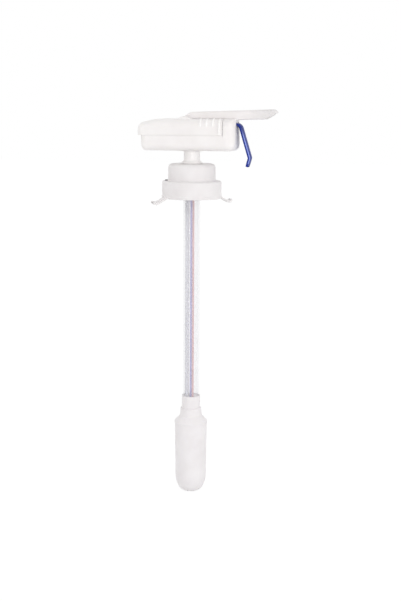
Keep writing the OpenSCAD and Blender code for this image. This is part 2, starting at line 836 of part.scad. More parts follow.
module spout() {
    inside = spout_w / 2 - channel_wall;
    color("white") difference() {
        union() {
            spout_bar();
            intersection() {
                head_form(0, head_rear);
                box([plate_rear, -half_w - 1, nose_top + eps], [head_front + 1, half_w + 1, head_top + 1]);
            }
        }
        box([plate_rear + 1.2, -inside, channel_low], [spout_tip + 1, inside, channel_low + channel_h]);
        box([spine_rear + spine_slope + 1, -inside, head_top],
            [plate_rear - 1, inside, spine_top - spine_hollow_wall]);
        translate([barb_x, 0, nose_top - 1])
            cylinder(r = barb_r + fit_clear, h = channel_low - nose_top + 2);
    }
}

// Turned piece on an upright axis at a place along X
module rotate_extrude_at(x) { translate([x, 0, 0]) rotate_extrude() children(); }

module hose_barb() {
    top = channel_low - sink;
    low = nose_top - barb_len;
    flange_z = nose_top - barb_flange_t;
    color("whitesmoke") rotate_extrude_at(barb_x) polygon([
        [barb_bore_r, low], [barb_r - barb_chamfer, low], [barb_r, low + barb_lead],
        [barb_r, flange_z], [barb_flange_r, flange_z], [barb_flange_r, nose_top],
        [barb_r, nose_top], [barb_r, top], [barb_bore_r, top]]);
}

// Grip ribs that follow the cover's side, longer towards the front
module grip_ribs() {
    intersection() {
        for (i = [0:rib_count - 1]) {
            x = rib_front - i * rib_pitch;
            low = i == 0 ? seam_z + rib_w / 2 : head_top - rib_drop;
            box([x - rib_w / 2, half_w - section_top_r, low], [x + rib_w / 2, half_w + rib_out, rib_top]);
        }
        translate([-cover_rear, 0, 0]) rotate([90, 0, 90]) linear_extrude(cover_rear + nose_x)
            polygon(section_pts(-rib_out));
    }
}

module finger_hump() {
    translate([hump_x, hump_y, head_top + hump_h - hump_r]) rotate([90, 0, 0])
        cylinder(r = hump_r, h = hump_w, center = true, $fn = 96);
}

module battery_cover() {
    color("white") difference() {
        union() {
            intersection() {
                difference() {
                    head_form(0, cover_rear);
                    head_form(wall, cover_rear);
                }
                box([-cover_rear - 1, -half_w - 1, seam_z], [nose_x - seam_gap, half_w + 1, head_top + 1]);
            }
            for (s = [0, 1]) mirror([0, s, 0]) {
                difference() {
                    grip_ribs();
                    head_form(wall / 2, cover_rear);
                }
                intersection() {
                    finger_hump();
                    box([-cover_rear, 0, head_top - wall / 2], [nose_x, half_w, head_top + hump_h + 1]);
                }
            }
        }
        for (s = [0, 1]) mirror([0, s, 0])
            box([rail_rear - slide_gap, inner_w - 1, bead_z - slide_gap],
                [nose_x + 1, rail_out + bead_out + slide_gap, bead_z + bead_h + slide_gap]);
    }
}

module battery_tray() {
    color("whitesmoke") difference() {
        union() {
            box([tray_rear, -tray_hw, tray_z], [tray_front, tray_hw, tray_z + tray_t]);
            for (x = [tray_rear, bay_front])
                box([x, -tray_hw, tray_z], [x + end_t, tray_hw, tray_z + tray_t + end_h]);
        }
        for (x = tray_screw_x) translate([x, 0, tray_z - 1])
            cylinder(r = tray_screw_r + slide_gap, h = tray_t + 2);
        for (y = [-cell_y, cell_y])
            box([bay_front - contact_t - slide_gap, y - tail_w / 2 - slide_gap, tray_z - 1],
                [bay_front, y + tail_w / 2 + slide_gap, tray_z + tray_t + 1]);
    }
}

module tray_screws() {
    top = tray_z + tray_t;
    color("silver") for (x = tray_screw_x) translate([x, 0, top]) difference() {
        union() {
            cylinder(r = tray_screw_head_r, h = tray_screw_head_h);
            translate([0, 0, -tray_screw_len]) cylinder(r = tray_screw_r, h = tray_screw_len + eps);
        }
        for (turn = [0, 90]) rotate(turn)
            translate([-cross_l / 2, -cross_w / 2, tray_screw_head_h - cross_depth])
                cube([cross_l, cross_w, 1]);
    }
}

// One cell along X: its base at x, its nub towards the given direction
module cell(x, y, toward_front) {
    translate([x, y, cell_z]) rotate([0, toward_front ? 90 : -90, 0]) {
        difference() {
            cylinder(r = cell_r, h = cell_len - nub_h);
            translate([0, 0, cell_len - nub_h - 0.4]) difference() {
                cylinder(r = cell_r - 0.9, h = 1);
                cylinder(r = nub_r + 0.6, h = 1);
            }
        }
        translate([0, 0, cell_len - nub_h - eps]) cylinder(r = nub_r, h = nub_h + eps);
    }
}

module battery_cell_left() {
    color("steelblue") cell(bay_rear + contact_t + touch + coil_len, -cell_y, true);
}

module battery_cell_right() {
    color("steelblue") cell(bay_front - contact_t - touch - coil_len, cell_y, false);
}

module contact_bridge() {
    color("silver") box([bay_rear, -cell_y - contact_w / 2, cell_z - contact_h / 2],
        [bay_rear + contact_t, cell_y + contact_w / 2, cell_z + contact_h / 2]);
}

// Front contact plate with a tail through the tray
module front_contact(y) {
    x = bay_front - contact_t;
    box([x, y - contact_w / 2, cell_z - contact_h / 2],
        [bay_front, y + contact_w / 2, cell_z + contact_h / 2]);
    box([x, y - tail_w / 2, tail_low], [bay_front, y + tail_w / 2, cell_z]);
}

module positive_contact() { color("silver") front_contact(-cell_y); }

module negative_contact() { color("silver") front_contact(cell_y); }

// Tapered coil along X that presses on a cell's base
module contact_coil(x, y, way) {
    steps = 10 * coil_turns;
    base = coil_wire / 2 + touch;
    rise = coil_len - 2 * base;
    path = [for (i = [0:steps]) let (a = 360 * coil_turns * i / steps, r = coil_r - coil_taper * i / steps)
        [x + way * (base + rise * i / steps), y + r * cos(a), cell_z + r * sin(a)]];
    wire(path, coil_wire / 2, 6, [1, 0, 0]);
}

module rear_contact_spring() { color("silver") contact_coil(bay_rear + contact_t, -cell_y, 1); }

module front_contact_spring() { color("silver") contact_coil(bay_front - contact_t, cell_y, -1); }

module switch_case() {
    y = switch_y - case_w / 2;
    color("dimgray") difference() {
        box([case_x, y, case_z], [case_x + case_l, y + case_w, case_z + case_h]);
        for (z = post_z) rod_y(case_x + post_x, case_z + z, post_r + fit_clear, y - 1, y + case_w + 1);
        translate([case_x + case_l - plunger_in - 1, switch_y, plunger_z]) rotate([0, 90, 0])
            cylinder(r = plunger_r + run_clear, h = plunger_in + 2);
    }
}

module switch_terminals() {
    color("gold") for (z = blade_z)
        box([case_x - blade_l, switch_y - blade_t / 2, case_z + z - blade_w / 2],
            [case_x, switch_y + blade_t / 2, case_z + z + blade_w / 2]);
}

module switch_plunger() {
    color("firebrick") translate([case_x + case_l - plunger_hold, switch_y, plunger_z]) rotate([0, 90, 0])
        cylinder(r = plunger_r, h = plunger_hold + plunger_out);
}

module dispense_lever() {
    color("royalblue") difference() {
        union() {
            rotate([90, 0, 0]) linear_extrude(lever_w, center = true) strip(lever_path, lever_t);
            rod_y(pivot_x, pivot_z, boss_r, -arm_out, arm_out);
            box([pivot_x - finger_back, -arm_out, pivot_z - finger_len],
                [pivot_x - finger_back + finger_t, arm_out, pivot_z]);
        }
        box([pivot_x - lever_w, -arm_gap, pivot_z - lever_len], [fork_x, arm_gap, pivot_z + lever_w]);
        rod_y(pivot_x, pivot_z, pin_r + run_clear, -lever_w, lever_w);
    }
}

module lever_pins() {
    color("silver") for (side = [-1, 1]) {
        end = bearing_y(side) + bearing_w;
        rod_y(pivot_x, pivot_z, pin_r, side > 0 ? arm_gap : -end, side > 0 ? end : -arm_gap);
    }
}

// Torsion spring on the far pin: one leg lies behind the lever's finger, the other points down
module lever_return_spring() {
    steps = 10 * spring_turns;
    y0 = arm_out + slide_gap + spring_wire / 2;
    y1 = y0 + spring_pitch * spring_turns;
    leg_x = pivot_x - finger_back - slide_gap - spring_wire / 2;
    leg_z = pivot_z - finger_len;
    coil = [for (i = [0:steps]) let (a = 180 + 360 * spring_turns * i / steps)
        [pivot_x + spring_r * cos(a), y0 + (y1 - y0) * i / steps, pivot_z + spring_r * sin(a)]];
    leg_in = [[leg_x, arm_out - 2, leg_z + 1.4], [leg_x, arm_out - 0.4, leg_z + 1.4],
        [leg_x, y0, leg_z + 2.2], [leg_x, y0, pivot_z - 2]];
    leg_out = [[pivot_x - spring_r - 0.3, y1, pivot_z - 1.6], [pivot_x - spring_r - 0.6, y1, pivot_z - 5.4]];
    color("silver") wire(concat(leg_in, coil, leg_out), spring_wire / 2, 6, [1, 0, 0]);
}

module battery_lead() { color("firebrick") wire(rounded(lead_route, 2, 4), wire_r); }

module red_wire() { color("firebrick") wire(rounded(red_route, 4, 5), wire_r); }

module blue_wire() { color("royalblue") wire(rounded(blue_route, 4, 5), wire_r); }

module water_hose() { color("gainsboro") hose(rounded(hose_route, 7, 6), hose_r, hose_bore_r, hose_sides); }

module riser_tube() {
    color("lightcyan") translate([0, 0, riser_bottom]) difference() {
        cylinder(r = riser_r, h = riser_len);
        translate([0, 0, -1]) cylinder(r = riser_bore_r, h = riser_len + 2);
    }
}

module pump_cap() {
    ring_r = socket_r + ring_out;
    skirt_out = cup_bore_r - fit_clear;
    groove_r = skirt_out - pump_seal_cord - fit_clear;
    color("whitesmoke") rotate_extrude() polygon([
        [riser_r + fit_clear, socket_top], [socket_r, socket_top], [socket_r, ring_top],
        [ring_r, ring_top], [ring_r + ring_flare, ring_bottom],
        [pump_r, ridge_z + ridge_t], [pump_r, ridge_z],
        [skirt_out, ridge_z], [skirt_out, pump_seal_z + pump_seal_cord / 2 + fit_clear],
        [groove_r, pump_seal_z + pump_seal_cord / 2 + fit_clear],
        [groove_r, pump_seal_z - pump_seal_cord / 2 - fit_clear],
        [skirt_out, pump_seal_z - pump_seal_cord / 2 - fit_clear],
        [skirt_out, ridge_z - skirt_in_h], [groove_r - skirt_in_t, ridge_z - skirt_in_h],
        [groove_r - skirt_in_t, ridge_z], [throat_r, ring_bottom - cap_wall / 2], [throat_r, riser_bottom],
        [riser_r + fit_clear, riser_bottom]]);
}

module cable_gland() {
    color("dimgray") translate([0, 0, gland_bottom]) difference() {
        cylinder(r = riser_bore_r - fit_clear, h = gland_h);
        for (p = [red_at, blue_at]) translate([p.x, p.y, -1])
            cylinder(r = wire_r + fit_clear, h = gland_h + 2);
        translate([hose_at.x, hose_at.y, -1]) cylinder(r = hose_r + fit_clear, h = gland_h + 2);
    }
}

module pump_seal_ring() {
    color("dimgray") translate([0, 0, pump_seal_z]) rotate_extrude()
        translate([cup_bore_r - fit_clear - pump_seal_cord / 2, 0]) circle(d = pump_seal_cord);
}

module pump_cup() {
    color("whitesmoke") difference() {
        rotate_extrude() polygon(concat(
            [[0, ridge_z], [cup_r, ridge_z]],
            oval([foot_r, cup_round_z], cup_r - cup_taper - foot_r, cup_round_h, 0, -90, 14),
            [[0, pump_bottom]]));
        translate([0, 0, motor_plate_step]) cylinder(r = cup_bore_r, h = ridge_z - motor_plate_step + 1);
        translate([0, 0, sump_top]) cylinder(r = chamber_r, h = ridge_z - sump_top);
        translate([0, 0, pump_bottom + strainer_t]) cylinder(r = sump_r, h = sump_top - pump_bottom);
        translate([0, 0, pump_bottom - 1]) cylinder(r = strainer_r + fit_clear, h = 10);
    }
}

module intake_strainer() {
    flange_r = strainer_r + strainer_flange;
    color("whitesmoke") translate([0, 0, pump_bottom]) difference() {
        union() {
            cylinder(r = strainer_r, h = strainer_t + eps);
            translate([0, 0, strainer_t]) cylinder(r = flange_r, h = strainer_flange_t);
        }
        for (i = [-2:2]) translate([i * slot_pitch - slot_w / 2, -slot_l / 2, -1]) cube([slot_w, slot_l, 5]);
    }
}

module volute_plate() {
    color("whitesmoke") translate([0, 0, sump_top]) difference() {
        cylinder(r = chamber_r - fit_clear, h = plate_t);
        translate([0, 0, -1]) cylinder(r = eye_r, h = plate_t + 2);
    }
}

module motor_plate() {
    color("whitesmoke") difference() {
        union() {
            translate([0, 0, chamber_top]) cylinder(r = chamber_r - fit_clear, h = motor_plate_low + eps);
            translate([0, 0, motor_plate_step]) cylinder(r = cup_bore_r - fit_clear, h = motor_plate_t);
        }
        translate([0, 0, chamber_top - 1]) cylinder(r = shaft_r + 0.3, h = 20);
        translate([0, 0, motor_z - motor_nose_h - 0.1]) cylinder(r = motor_nose_r + fit_clear, h = 10);
        translate([0, 0, chamber_top - 1]) cylinder(r = seal_r + fit_clear, h = seal_t + 1.1);
        translate([0, pipe_y, motor_z - pipe_spigot_h]) cylinder(r = pipe_spigot_r + fit_clear, h = 10);
        box([-pipe_bore_r, chamber_r - 2.6, chamber_top - 1],
            [pipe_bore_r, pipe_y + pipe_bore_r, motor_z - pipe_spigot_h + 0.1]);
    }
}

module shaft_seal() {
    color("dimgray") translate([0, 0, chamber_top]) difference() {
        cylinder(r = seal_r, h = seal_t);
        translate([0, 0, -1]) cylinder(r = shaft_r + run_clear, h = seal_t + 2);
    }
}

module discharge_pipe() {
    low = motor_z - pipe_spigot_h;
    top = pipe_top + pipe_barb_h;
    neck = barb_r - pipe_barb_wall;
    color("whitesmoke") translate([0, pipe_y, 0]) rotate_extrude() polygon([
        [pipe_bore_r, low], [pipe_spigot_r, low], [pipe_spigot_r, motor_z], [pipe_r, motor_z],
        [pipe_r, pipe_top], [barb_r, pipe_top], [barb_r, top - barb_lead], [barb_r - barb_chamfer, top],
        [neck, top], [neck, pipe_top - 1], [pipe_bore_r, pipe_top - barb_lead]]);
}

// Round motor section with two flats, drawn in by i
module motor_section(i) {
    intersection() {
        circle(r = motor_r - i);
        square([3 * motor_r, 2 * (motor_flat - i)], center = true);
    }
}

module motor_can() {
    color("silver") difference() {
        union() {
            translate([0, 0, motor_z]) linear_extrude(motor_len) motor_section(0);
            translate([0, 0, motor_z - motor_nose_h]) cylinder(r = motor_nose_r, h = motor_nose_h + eps);
        }
        translate([0, 0, motor_z + motor_wall]) linear_extrude(motor_len) motor_section(motor_wall);
        translate([0, 0, motor_z - motor_nose_h - 1]) cylinder(r = motor_bush_r + fit_clear, h = 10);
    }
}

module motor_magnets() {
    outer = motor_r - motor_wall - magnet_gap;
    color("dimgray") translate([0, 0, motor_z + magnet_low]) linear_extrude(magnet_len) intersection() {
        difference() {
            circle(r = outer);
            circle(r = outer - magnet_t);
        }
        for (s = [-1, 1]) translate([s * outer, 0]) square([outer, 2 * magnet_half], center = true);
    }
}

module motor_bush() {
    color("darkgoldenrod") translate([0, 0, motor_z - motor_nose_h]) difference() {
        cylinder(r = motor_bush_r, h = motor_nose_h + motor_wall);
        translate([0, 0, -1]) cylinder(r = shaft_r + run_clear, h = 10);
    }
}

module motor_end_bell() {
    color("whitesmoke") translate([0, 0, motor_top]) difference() {
        union() {
            linear_extrude(bell_t) motor_section(0);
            translate([0, 0, bell_t - eps]) cylinder(r = bell_boss_r, h = bell_boss_h);
        }
        translate([0, 0, -1]) cylinder(r = shaft_r + run_clear, h = bell_t + 1);
        translate([0, 0, -1]) cylinder(r = commutator_r + 0.6, h = 2);
    }
}

module motor_terminals() {
    color("gold") for (s = [-1, 1])
        translate([s * terminal_x - terminal_t / 2, -terminal_w / 2, bell_top])
            cube([terminal_t, terminal_w, terminal_h]);
}

module armature() {
    low = motor_z + armature_low;
    color("darkgoldenrod") translate([0, 0, low]) difference() {
        union() {
            cylinder(r = winding_r, h = armature_len);
            for (i = [0:2]) rotate(120 * i) translate([0, 0, pole_in])
                linear_extrude(armature_len - 2 * pole_in) intersection() {
                    circle(r = armature_r);
                    polygon(3 * armature_r * [[0, 0], heading(-pole_half), heading(pole_half)]);
                }
        }
        translate([0, 0, -1]) cylinder(r = shaft_r + fit_clear / 2, h = armature_len + 2);
    }
}

module commutator() {
    color("orange") translate([0, 0, motor_top - commutator_len + 0.6]) difference() {
        cylinder(r = commutator_r, h = commutator_len - 0.9);
        translate([0, 0, -1]) cylinder(r = shaft_r + fit_clear / 2, h = commutator_len + 2);
        for (i = [0:2]) rotate(120 * i)
            translate([commutator_r - bar_gap_depth, -bar_gap / 2, -1])
                cube([2, bar_gap, commutator_len + 2]);
    }
}

module motor_shaft() {
    low = impeller_low - 0.4;
    color("silver") translate([0, 0, low]) cylinder(r = shaft_r, h = bell_top - 0.4 - low);
}

module impeller() {
    top = impeller_low + impeller_h;
    color("whitesmoke") difference() {
        union() {
            translate([0, 0, top - impeller_disc_t]) cylinder(r = impeller_r, h = impeller_disc_t);
            translate([0, 0, impeller_low]) cylinder(r = impeller_hub_r, h = impeller_h);
            for (i = [0:vane_count - 1]) rotate(360 * i / vane_count)
                translate([impeller_hub_r - 2 * sink, 0, impeller_low]) rotate(vane_sweep)
                    translate([0, -vane_t / 2, 0]) cube([vane_len, vane_t, impeller_h - eps]);
        }
        translate([0, 0, impeller_low - 1]) cylinder(r = shaft_r + fit_clear / 2, h = impeller_h + 2);
    }
}

bottle_collar();
vent_valve();
swivel_bush();
stem();
stem_seal_ring();
stem_retaining_clip();
stem_nut();
main_housing();
spout();
hose_barb();
battery_cover();
battery_tray();
tray_screws();
battery_cell_left();
battery_cell_right();
contact_bridge();
positive_contact();
negative_contact();
rear_contact_spring();
front_contact_spring();
switch_case();
switch_terminals();
switch_plunger();
dispense_lever();
lever_pins();
lever_return_spring();
battery_lead();
red_wire();
blue_wire();
water_hose();
riser_tube();
pump_cap();
cable_gland();
pump_seal_ring();
pump_cup();
intake_strainer();
volute_plate();
motor_plate();
shaft_seal();
discharge_pipe();
motor_can();
motor_magnets();
motor_bush();
motor_end_bell();
motor_terminals();
armature();
commutator();
motor_shaft();
impeller();
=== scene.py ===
"""Looks of the battery jug pump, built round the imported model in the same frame. Sizes are in millimetres."""

import json
import math

import bmesh
import bpy
from mathutils import Matrix, Vector


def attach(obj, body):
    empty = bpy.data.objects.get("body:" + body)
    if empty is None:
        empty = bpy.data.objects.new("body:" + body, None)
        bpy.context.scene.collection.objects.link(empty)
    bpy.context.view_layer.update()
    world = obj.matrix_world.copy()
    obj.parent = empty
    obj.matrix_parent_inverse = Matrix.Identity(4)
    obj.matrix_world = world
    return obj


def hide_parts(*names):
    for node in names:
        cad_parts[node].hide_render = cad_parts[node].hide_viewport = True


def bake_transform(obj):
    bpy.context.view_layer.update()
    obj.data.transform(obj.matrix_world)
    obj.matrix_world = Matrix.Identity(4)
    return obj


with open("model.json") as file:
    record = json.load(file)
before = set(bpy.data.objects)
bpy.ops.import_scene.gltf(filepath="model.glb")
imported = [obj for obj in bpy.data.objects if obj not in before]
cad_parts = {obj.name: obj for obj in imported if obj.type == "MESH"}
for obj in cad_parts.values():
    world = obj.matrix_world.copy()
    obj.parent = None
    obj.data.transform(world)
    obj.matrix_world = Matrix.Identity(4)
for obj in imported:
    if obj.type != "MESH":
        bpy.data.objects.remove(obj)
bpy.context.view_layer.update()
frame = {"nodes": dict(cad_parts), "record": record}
MM = 0.001

# Collar, stem and swivel
SKIRT_BORE_R, SKIRT_R, RIM_R, RIM_H, SKIRT_H = 24.7, 27.4, 27.78, 2.2, 16.0
CROWN_BORE_R, CROWN_R, HUB_R, CAP_TOP, CROWN_T, CROWN_ROUND, LEDGE_T = 19.3, 21.8, 11.11, 31.5, 2.6, 3.8, 2.4
TAB_W, TAB_T, TAB_TURNS = 9.0, 1.6, (34, 218)
TAB_PATH = [(26.6, 1.1), (37.0, -4.6, 1.2), (39.4, -2.2)]
VENT_AT, VENT_R, VENT_TURN = 23.45, 1.0, 196.0
STEM_R, STEM_BORE_R, JOURNAL_R, FLARE_R = 7.4, 4.9, 8.2, 9.6
STEM_TOP, FLARE_Z, JOURNAL_LOW, SPIGOT_LOW, SPIGOT_R = 47.6, 31.65, 25.0, 12.0, 6.55
FLARE_RIM_H, FLARE_NECK_H, FLARE_H, FLARE_NECK_OUT = 1.3, 2.1, 3.8, 0.7

# Head
HEAD_Z, HEAD_TOP, HALF_W, FRONT, REAR, COVER_REAR = 43.6, 72.2, 19.0, 42.5, 44.6, 47.6
WALL, SEAM_Z, SEAM_GAP, COVER_GAP, NOSE_X = 1.8, 57.3, 0.06, 0.45, 31.6
PLAN_REAR_R, PLAN_FRONT_R, LOW_REAR_R, LOW_FRONT_R = 6.0, 9.0, 5.5, 5.0
SECTION_LOW_R, SECTION_TOP_R, BACK_LEN, BACK_DROP = 6.0, 8.0, 27.0, 7.5
RAKE_Z, RAKE, RAKE_H, RAKE_START, RAKE_RUN, NOSE_EDGE = 52.0, 0.6, 18.7, 0.5, 5, 1.5
END_TOP_R, END_LOW_R, END_RUN = 4.2, 4.0, 9.0
RIB_FRONT, RIB_PITCH, RIB_COUNT, RIB_W, RIB_OUT, RIB_DROP = 28.4, 5.8, 4, 1.8, 0.9, 7.0
HUMP_X, HUMP_Y, HUMP_LEN, HUMP_W, HUMP_H, HUMP_FALL, HUMP_SINK = -4.5, 11.45, 13.0, 6.5, 2.4, 0.9, 0.05
NECK_BORE_R, NECK_R, NECK_ROOT_R, NECK_LOW, NECK_TOP = 7.45, 8.7, 8.9, 42.7, 44.2

# Inside the housing: boxes by two corners, those on the +Y side mirrored
SIDE_BOXES = {
    "rail_foot": ((-28, 15.65, 54.6), (30, 17.5, 57.0)),
    "rail_wall": ((-28, 15.65, 54.6), (30, 17.05, 59.9)),
    "rail_lip": ((-28, 16.75, 58.5), (30, 17.75, 59.5)),
    "tray_shelf": ((-36.6, 11.95, 51.6), (18.2, 17.5, 53.2)),
}
SWITCH_BRACKET = ((23.9, -10.15, 45.1), (30.4, -8.35, 62.2))
BEARING_SPANS, BEARING_FRONT, BEARING_LOW, BEARING_TOP = ((10.36, 12.86), (-9.8, -7.3)), 37.0, 63.4, 69.0
POSTS_X, POST_R, POST_BORE_R, POST_LOW, POST_FLOOR, POST_TOP = (-33, -15), 2.8, 1.05, 45.2, 46.4, 53.2
CELL_Y, CELL_Z, REAR_CONTACT_X, FRONT_CONTACT_X = 7.6, 61.45, -36.8, 18.4

# Spout
SPOUT_HW, SPOUT_TIP, SPINE_REAR, SPINE_TOP, TIP_TOP, SPOUT_DEPTH = 7.0, 79.0, -9.3, 78.2, 80.9, 9.0
TIP_BACK, TIP_NOSE, TIP_DROP, TIP_ROUND, TIP_FACE, UNDER_ROUND = 10.5, 3.2, 2.4, 2.6, 0.5, 5
SPINE_RISE, SPINE_ROUND, ROOF_SINK, LEAST_H = 9, 6, 1.3, 0.06
SPINE_CLEAR, SPOUT_EDGE_R, SPOUT_TIP_R, SPOUT_TIP_LEN = 0.12, 2.2, 6.8, 11.0
SPINE_FOOT_R, SPOUT_FOOT_R, SPOUT_DRAFT, SPOUT_SLIM_LEN = 0.3, 1.6, 0.9, 6.0
CHANNEL_HW, CHANNEL_LOW, CHANNEL_H, CHANNEL_START = 4.0, 73.4, 3.8, 1.35

# Lever
LEVER_W, LEVER_T, ARM_GAP, FORK_X = 14.0, 2.3, 3.8, 42.0
PIVOT = (34.3, 66.2)
SHOULDER_C, SHOULDER_R, HEEL_C, HEEL_R = (40.915, 62.494), 5.0, (50.722, 37.259), 3.0
ARM_RISE, RUN_TURN, TOE_TURN, TOE_LEN = 12.0, -73.0, -106.0, 7.6
# ARRIS_R and TOE_R round the lever; the other two are the heights between which its rounded front edges get a
# painted highlight
ARRIS_R, TOE_R, PAINTED_HIGHLIGHT_LOW, PAINTED_HIGHLIGHT_HIGH = 1.1, 6.0, 32.5, 63.0
BOSS_R, PIN_R, PIN_FIT = 2.7, 1.2, 0.06
FINGER_BACK, FINGER_T, FINGER_SLIM, FINGER_LEN, FINGER_ROOT = 2.2, 2.0, 0.9, 6.8, 1
# Range of the faces' sideways lean that gets the painted highlight on the lever's edges
PAINTED_HIGHLIGHT_LEAST, PAINTED_HIGHLIGHT_MOST = 0.12, 0.95
SLOT_IN, SLOT_OUT, SLOT_W, SLOT_LOW, SLOT_HIGH = 3.5, 7.3, 3.8, 64.0, 69.2
SPRING_TURNS, SPRING_WIRE, SPRING_PITCH, SPRING_R, SLIDE_GAP = 3, 0.6, 0.72, 2.0, 0.3
LEG_HOOK, LEG_BEND, LEG_LOW, LEG_TURN, LEG_TOP = 2, 0.4, 1.4, 2.2, 2
FIXED_LEG = ((0.3, 1.6), (0.6, 5.4))

# Riser and pump
RISER_R, RISER_BORE_R, RISER_LOW, WIRE_R, HOSE_R, HOSE_BORE_R = 8.0, 6.6, -203.0, 0.9, 2.0, 1.5
SOCKET_TOP, SOCKET_R, RIDGE_Z, RIDGE_T, PUMP_R = -188.2, 8.65, -215.0, 1.7, 15.6
RING_R, RING_FLARE, RING_TOP, RING_LOW = 9.7, 0.8, -200.3, -208.0
CUP_R, CUP_BORE_R, CUP_TAPER, CUP_ROUND_Z, FOOT_R, PUMP_LOW = 15.25, 13.15, 0.55, -265.8, 6.4, -282.3
THROAT_R, THROAT_RISE, SOCKET_FIT, BOND_DROP = 6.4, 0.75, 0.05, 0.2
CAP_PLUG_H, CAP_PLUG_BORE_R, CAP_SEAT = 4, 10.6, 0.3
INLET_R, INLET_T, EYE_R, EYE_TOP, CHAMBER_R, CUP_FLOOR = 4.65, 1.6, 6.6, -273.8, 9.2, -263.4

# Routes of the hose and the wires, as in the part's source but for the hose's place in the riser
RED = [(21.3, -4.2, 56.8), (21.6, -3.6, 51), (21.4, -3.8, 49.6), (18, -4.4, 49), (7, -5, 49), (1.6, -3.6, 49),
       (0.9, -3.2, 45.6), (0.9, -3.2, 14), (2.3, -3, -2), (2.3, -3, -210.6), (7.6, 0, -222.9), (7.6, 0, -230.9)]
BLUE = [(17.45, 7.6, 50.2), (15.45, 8, 49), (8, 8.4, 49), (-2, 8.2, 49), (-6.6, 5, 49), (-6.4, 0, 49),
        (-2.2, -3.2, 49), (-1.2, -3.2, 45.6), (-1.2, -3.2, 14), (0.35, -3.15, -2), (0.35, -3.15, -210.6),
        (-3, -5, -216), (-7.6, 0, -222.9), (-7.6, 0, -230.9)]
LEAD = [(17.45, -7.6, 50.2), (18.05, -7.6, 49.1), (21.7, -7.2, 49.1), (22.1, -6.6, 52.6)]
HOSE = [(34.35, 0, 66.2), (34.35, 0, 50.45), (14, 1, 50.45), (-1.6, 1.2, 50.45), (-1.6, 1.2, 14),
        (-4.1, 0.9, -2), (-4.1, 0.9, -214.6), (0, 10.45, -227.9), (0, 10.45, -242.35)]


# Materials

def linear(srgb):
    """Scene colour of an sRGB colour written in 0 to 255."""
    return [((c / 255 + 0.055) / 1.055) ** 2.4 if c > 10 else c / 3294.6 for c in srgb] + [1.0]


def ramp(nodes, low, high, a, b):
    """Colour ramp from colour a at low to colour b at high."""
    node = nodes.new("ShaderNodeValToRGB")
    node.color_ramp.elements[0].position, node.color_ramp.elements[0].color = low, a
    node.color_ramp.elements[1].position, node.color_ramp.elements[1].color = high, b
    return node


def noise(nodes, links, vector, scale, detail=4.0):
    node = nodes.new("ShaderNodeTexNoise")
    node.inputs["Scale"].default_value = scale
    node.inputs["Detail"].default_value = detail
    links.new(vector, node.inputs["Vector"])
    return node.outputs["Fac"]


def faded(nodes, links, place, colour, axis, start, end, tint):
    """Colour that turns into a tint between two places along an axis of the part, in millimetres."""
    split, reach = nodes.new("ShaderNodeSeparateXYZ"), nodes.new("ShaderNodeMapRange")
    mix = nodes.new("ShaderNodeMix")
    links.new(place, split.inputs["Vector"])
    reach.inputs["From Min"].default_value, reach.inputs["From Max"].default_value = start * MM, end * MM
    links.new(split.outputs[axis], reach.inputs["Value"])
    mix.data_type = "RGBA"
    mix.inputs["B"].default_value = linear(tint)
    links.new(reach.outputs["Result"], mix.inputs["Factor"])
    links.new(colour, mix.inputs["A"])
    return mix.outputs["Result"]


def surface(name, deep, pale, clouds, rough, grain, bump, stretch=(1, 1, 1), fade=None, **sockets):
    """Procedural surface: two tones in soft clouds, uneven gloss, fine relief and, if asked for, a fade."""
    mat = bpy.data.materials.new(name)
    mat.use_nodes = True
    nodes, links = mat.node_tree.nodes, mat.node_tree.links
    shader = nodes["Principled BSDF"]
    place, mapping = nodes.new("ShaderNodeTexCoord"), nodes.new("ShaderNodeMapping")
    mapping.inputs["Scale"].default_value = stretch
    links.new(place.outputs["Object"], mapping.inputs["Vector"])
    vector = mapping.outputs["Vector"]
    tone = ramp(nodes, 0.3, 0.7, linear(deep), linear(pale))
    links.new(noise(nodes, links, vector, clouds), tone.inputs["Fac"])
    colour = tone.outputs["Color"]
    if fade:
        colour = faded(nodes, links, place.outputs["Object"], colour, *fade)
    links.new(colour, shader.inputs["Base Color"])
    gloss = nodes.new("ShaderNodeMapRange")
    gloss.inputs["From Min"].default_value, gloss.inputs["From Max"].default_value = 0.3, 0.7
    gloss.inputs["To Min"].default_value, gloss.inputs["To Max"].default_value = rough
    links.new(noise(nodes, links, vector, clouds * 3), gloss.inputs["Value"])
    links.new(gloss.outputs["Result"], shader.inputs["Roughness"])
    relief = nodes.new("ShaderNodeBump")
    relief.inputs["Strength"].default_value = bump
    relief.inputs["Distance"].default_value = 0.0002
    links.new(noise(nodes, links, vector, grain, 3.0), relief.inputs["Height"])
    links.new(relief.outputs["Normal"], shader.inputs["Normal"])
    for socket, value in sockets.items():
        shader.inputs[socket.replace("_", " ")].default_value = value
    return mat


def brushed(name, deep, pale, rough, stretch=(40, 40, 2)):
    return surface(name, deep, pale, 60, rough, 900, 0.15, stretch, Metallic=1.0)


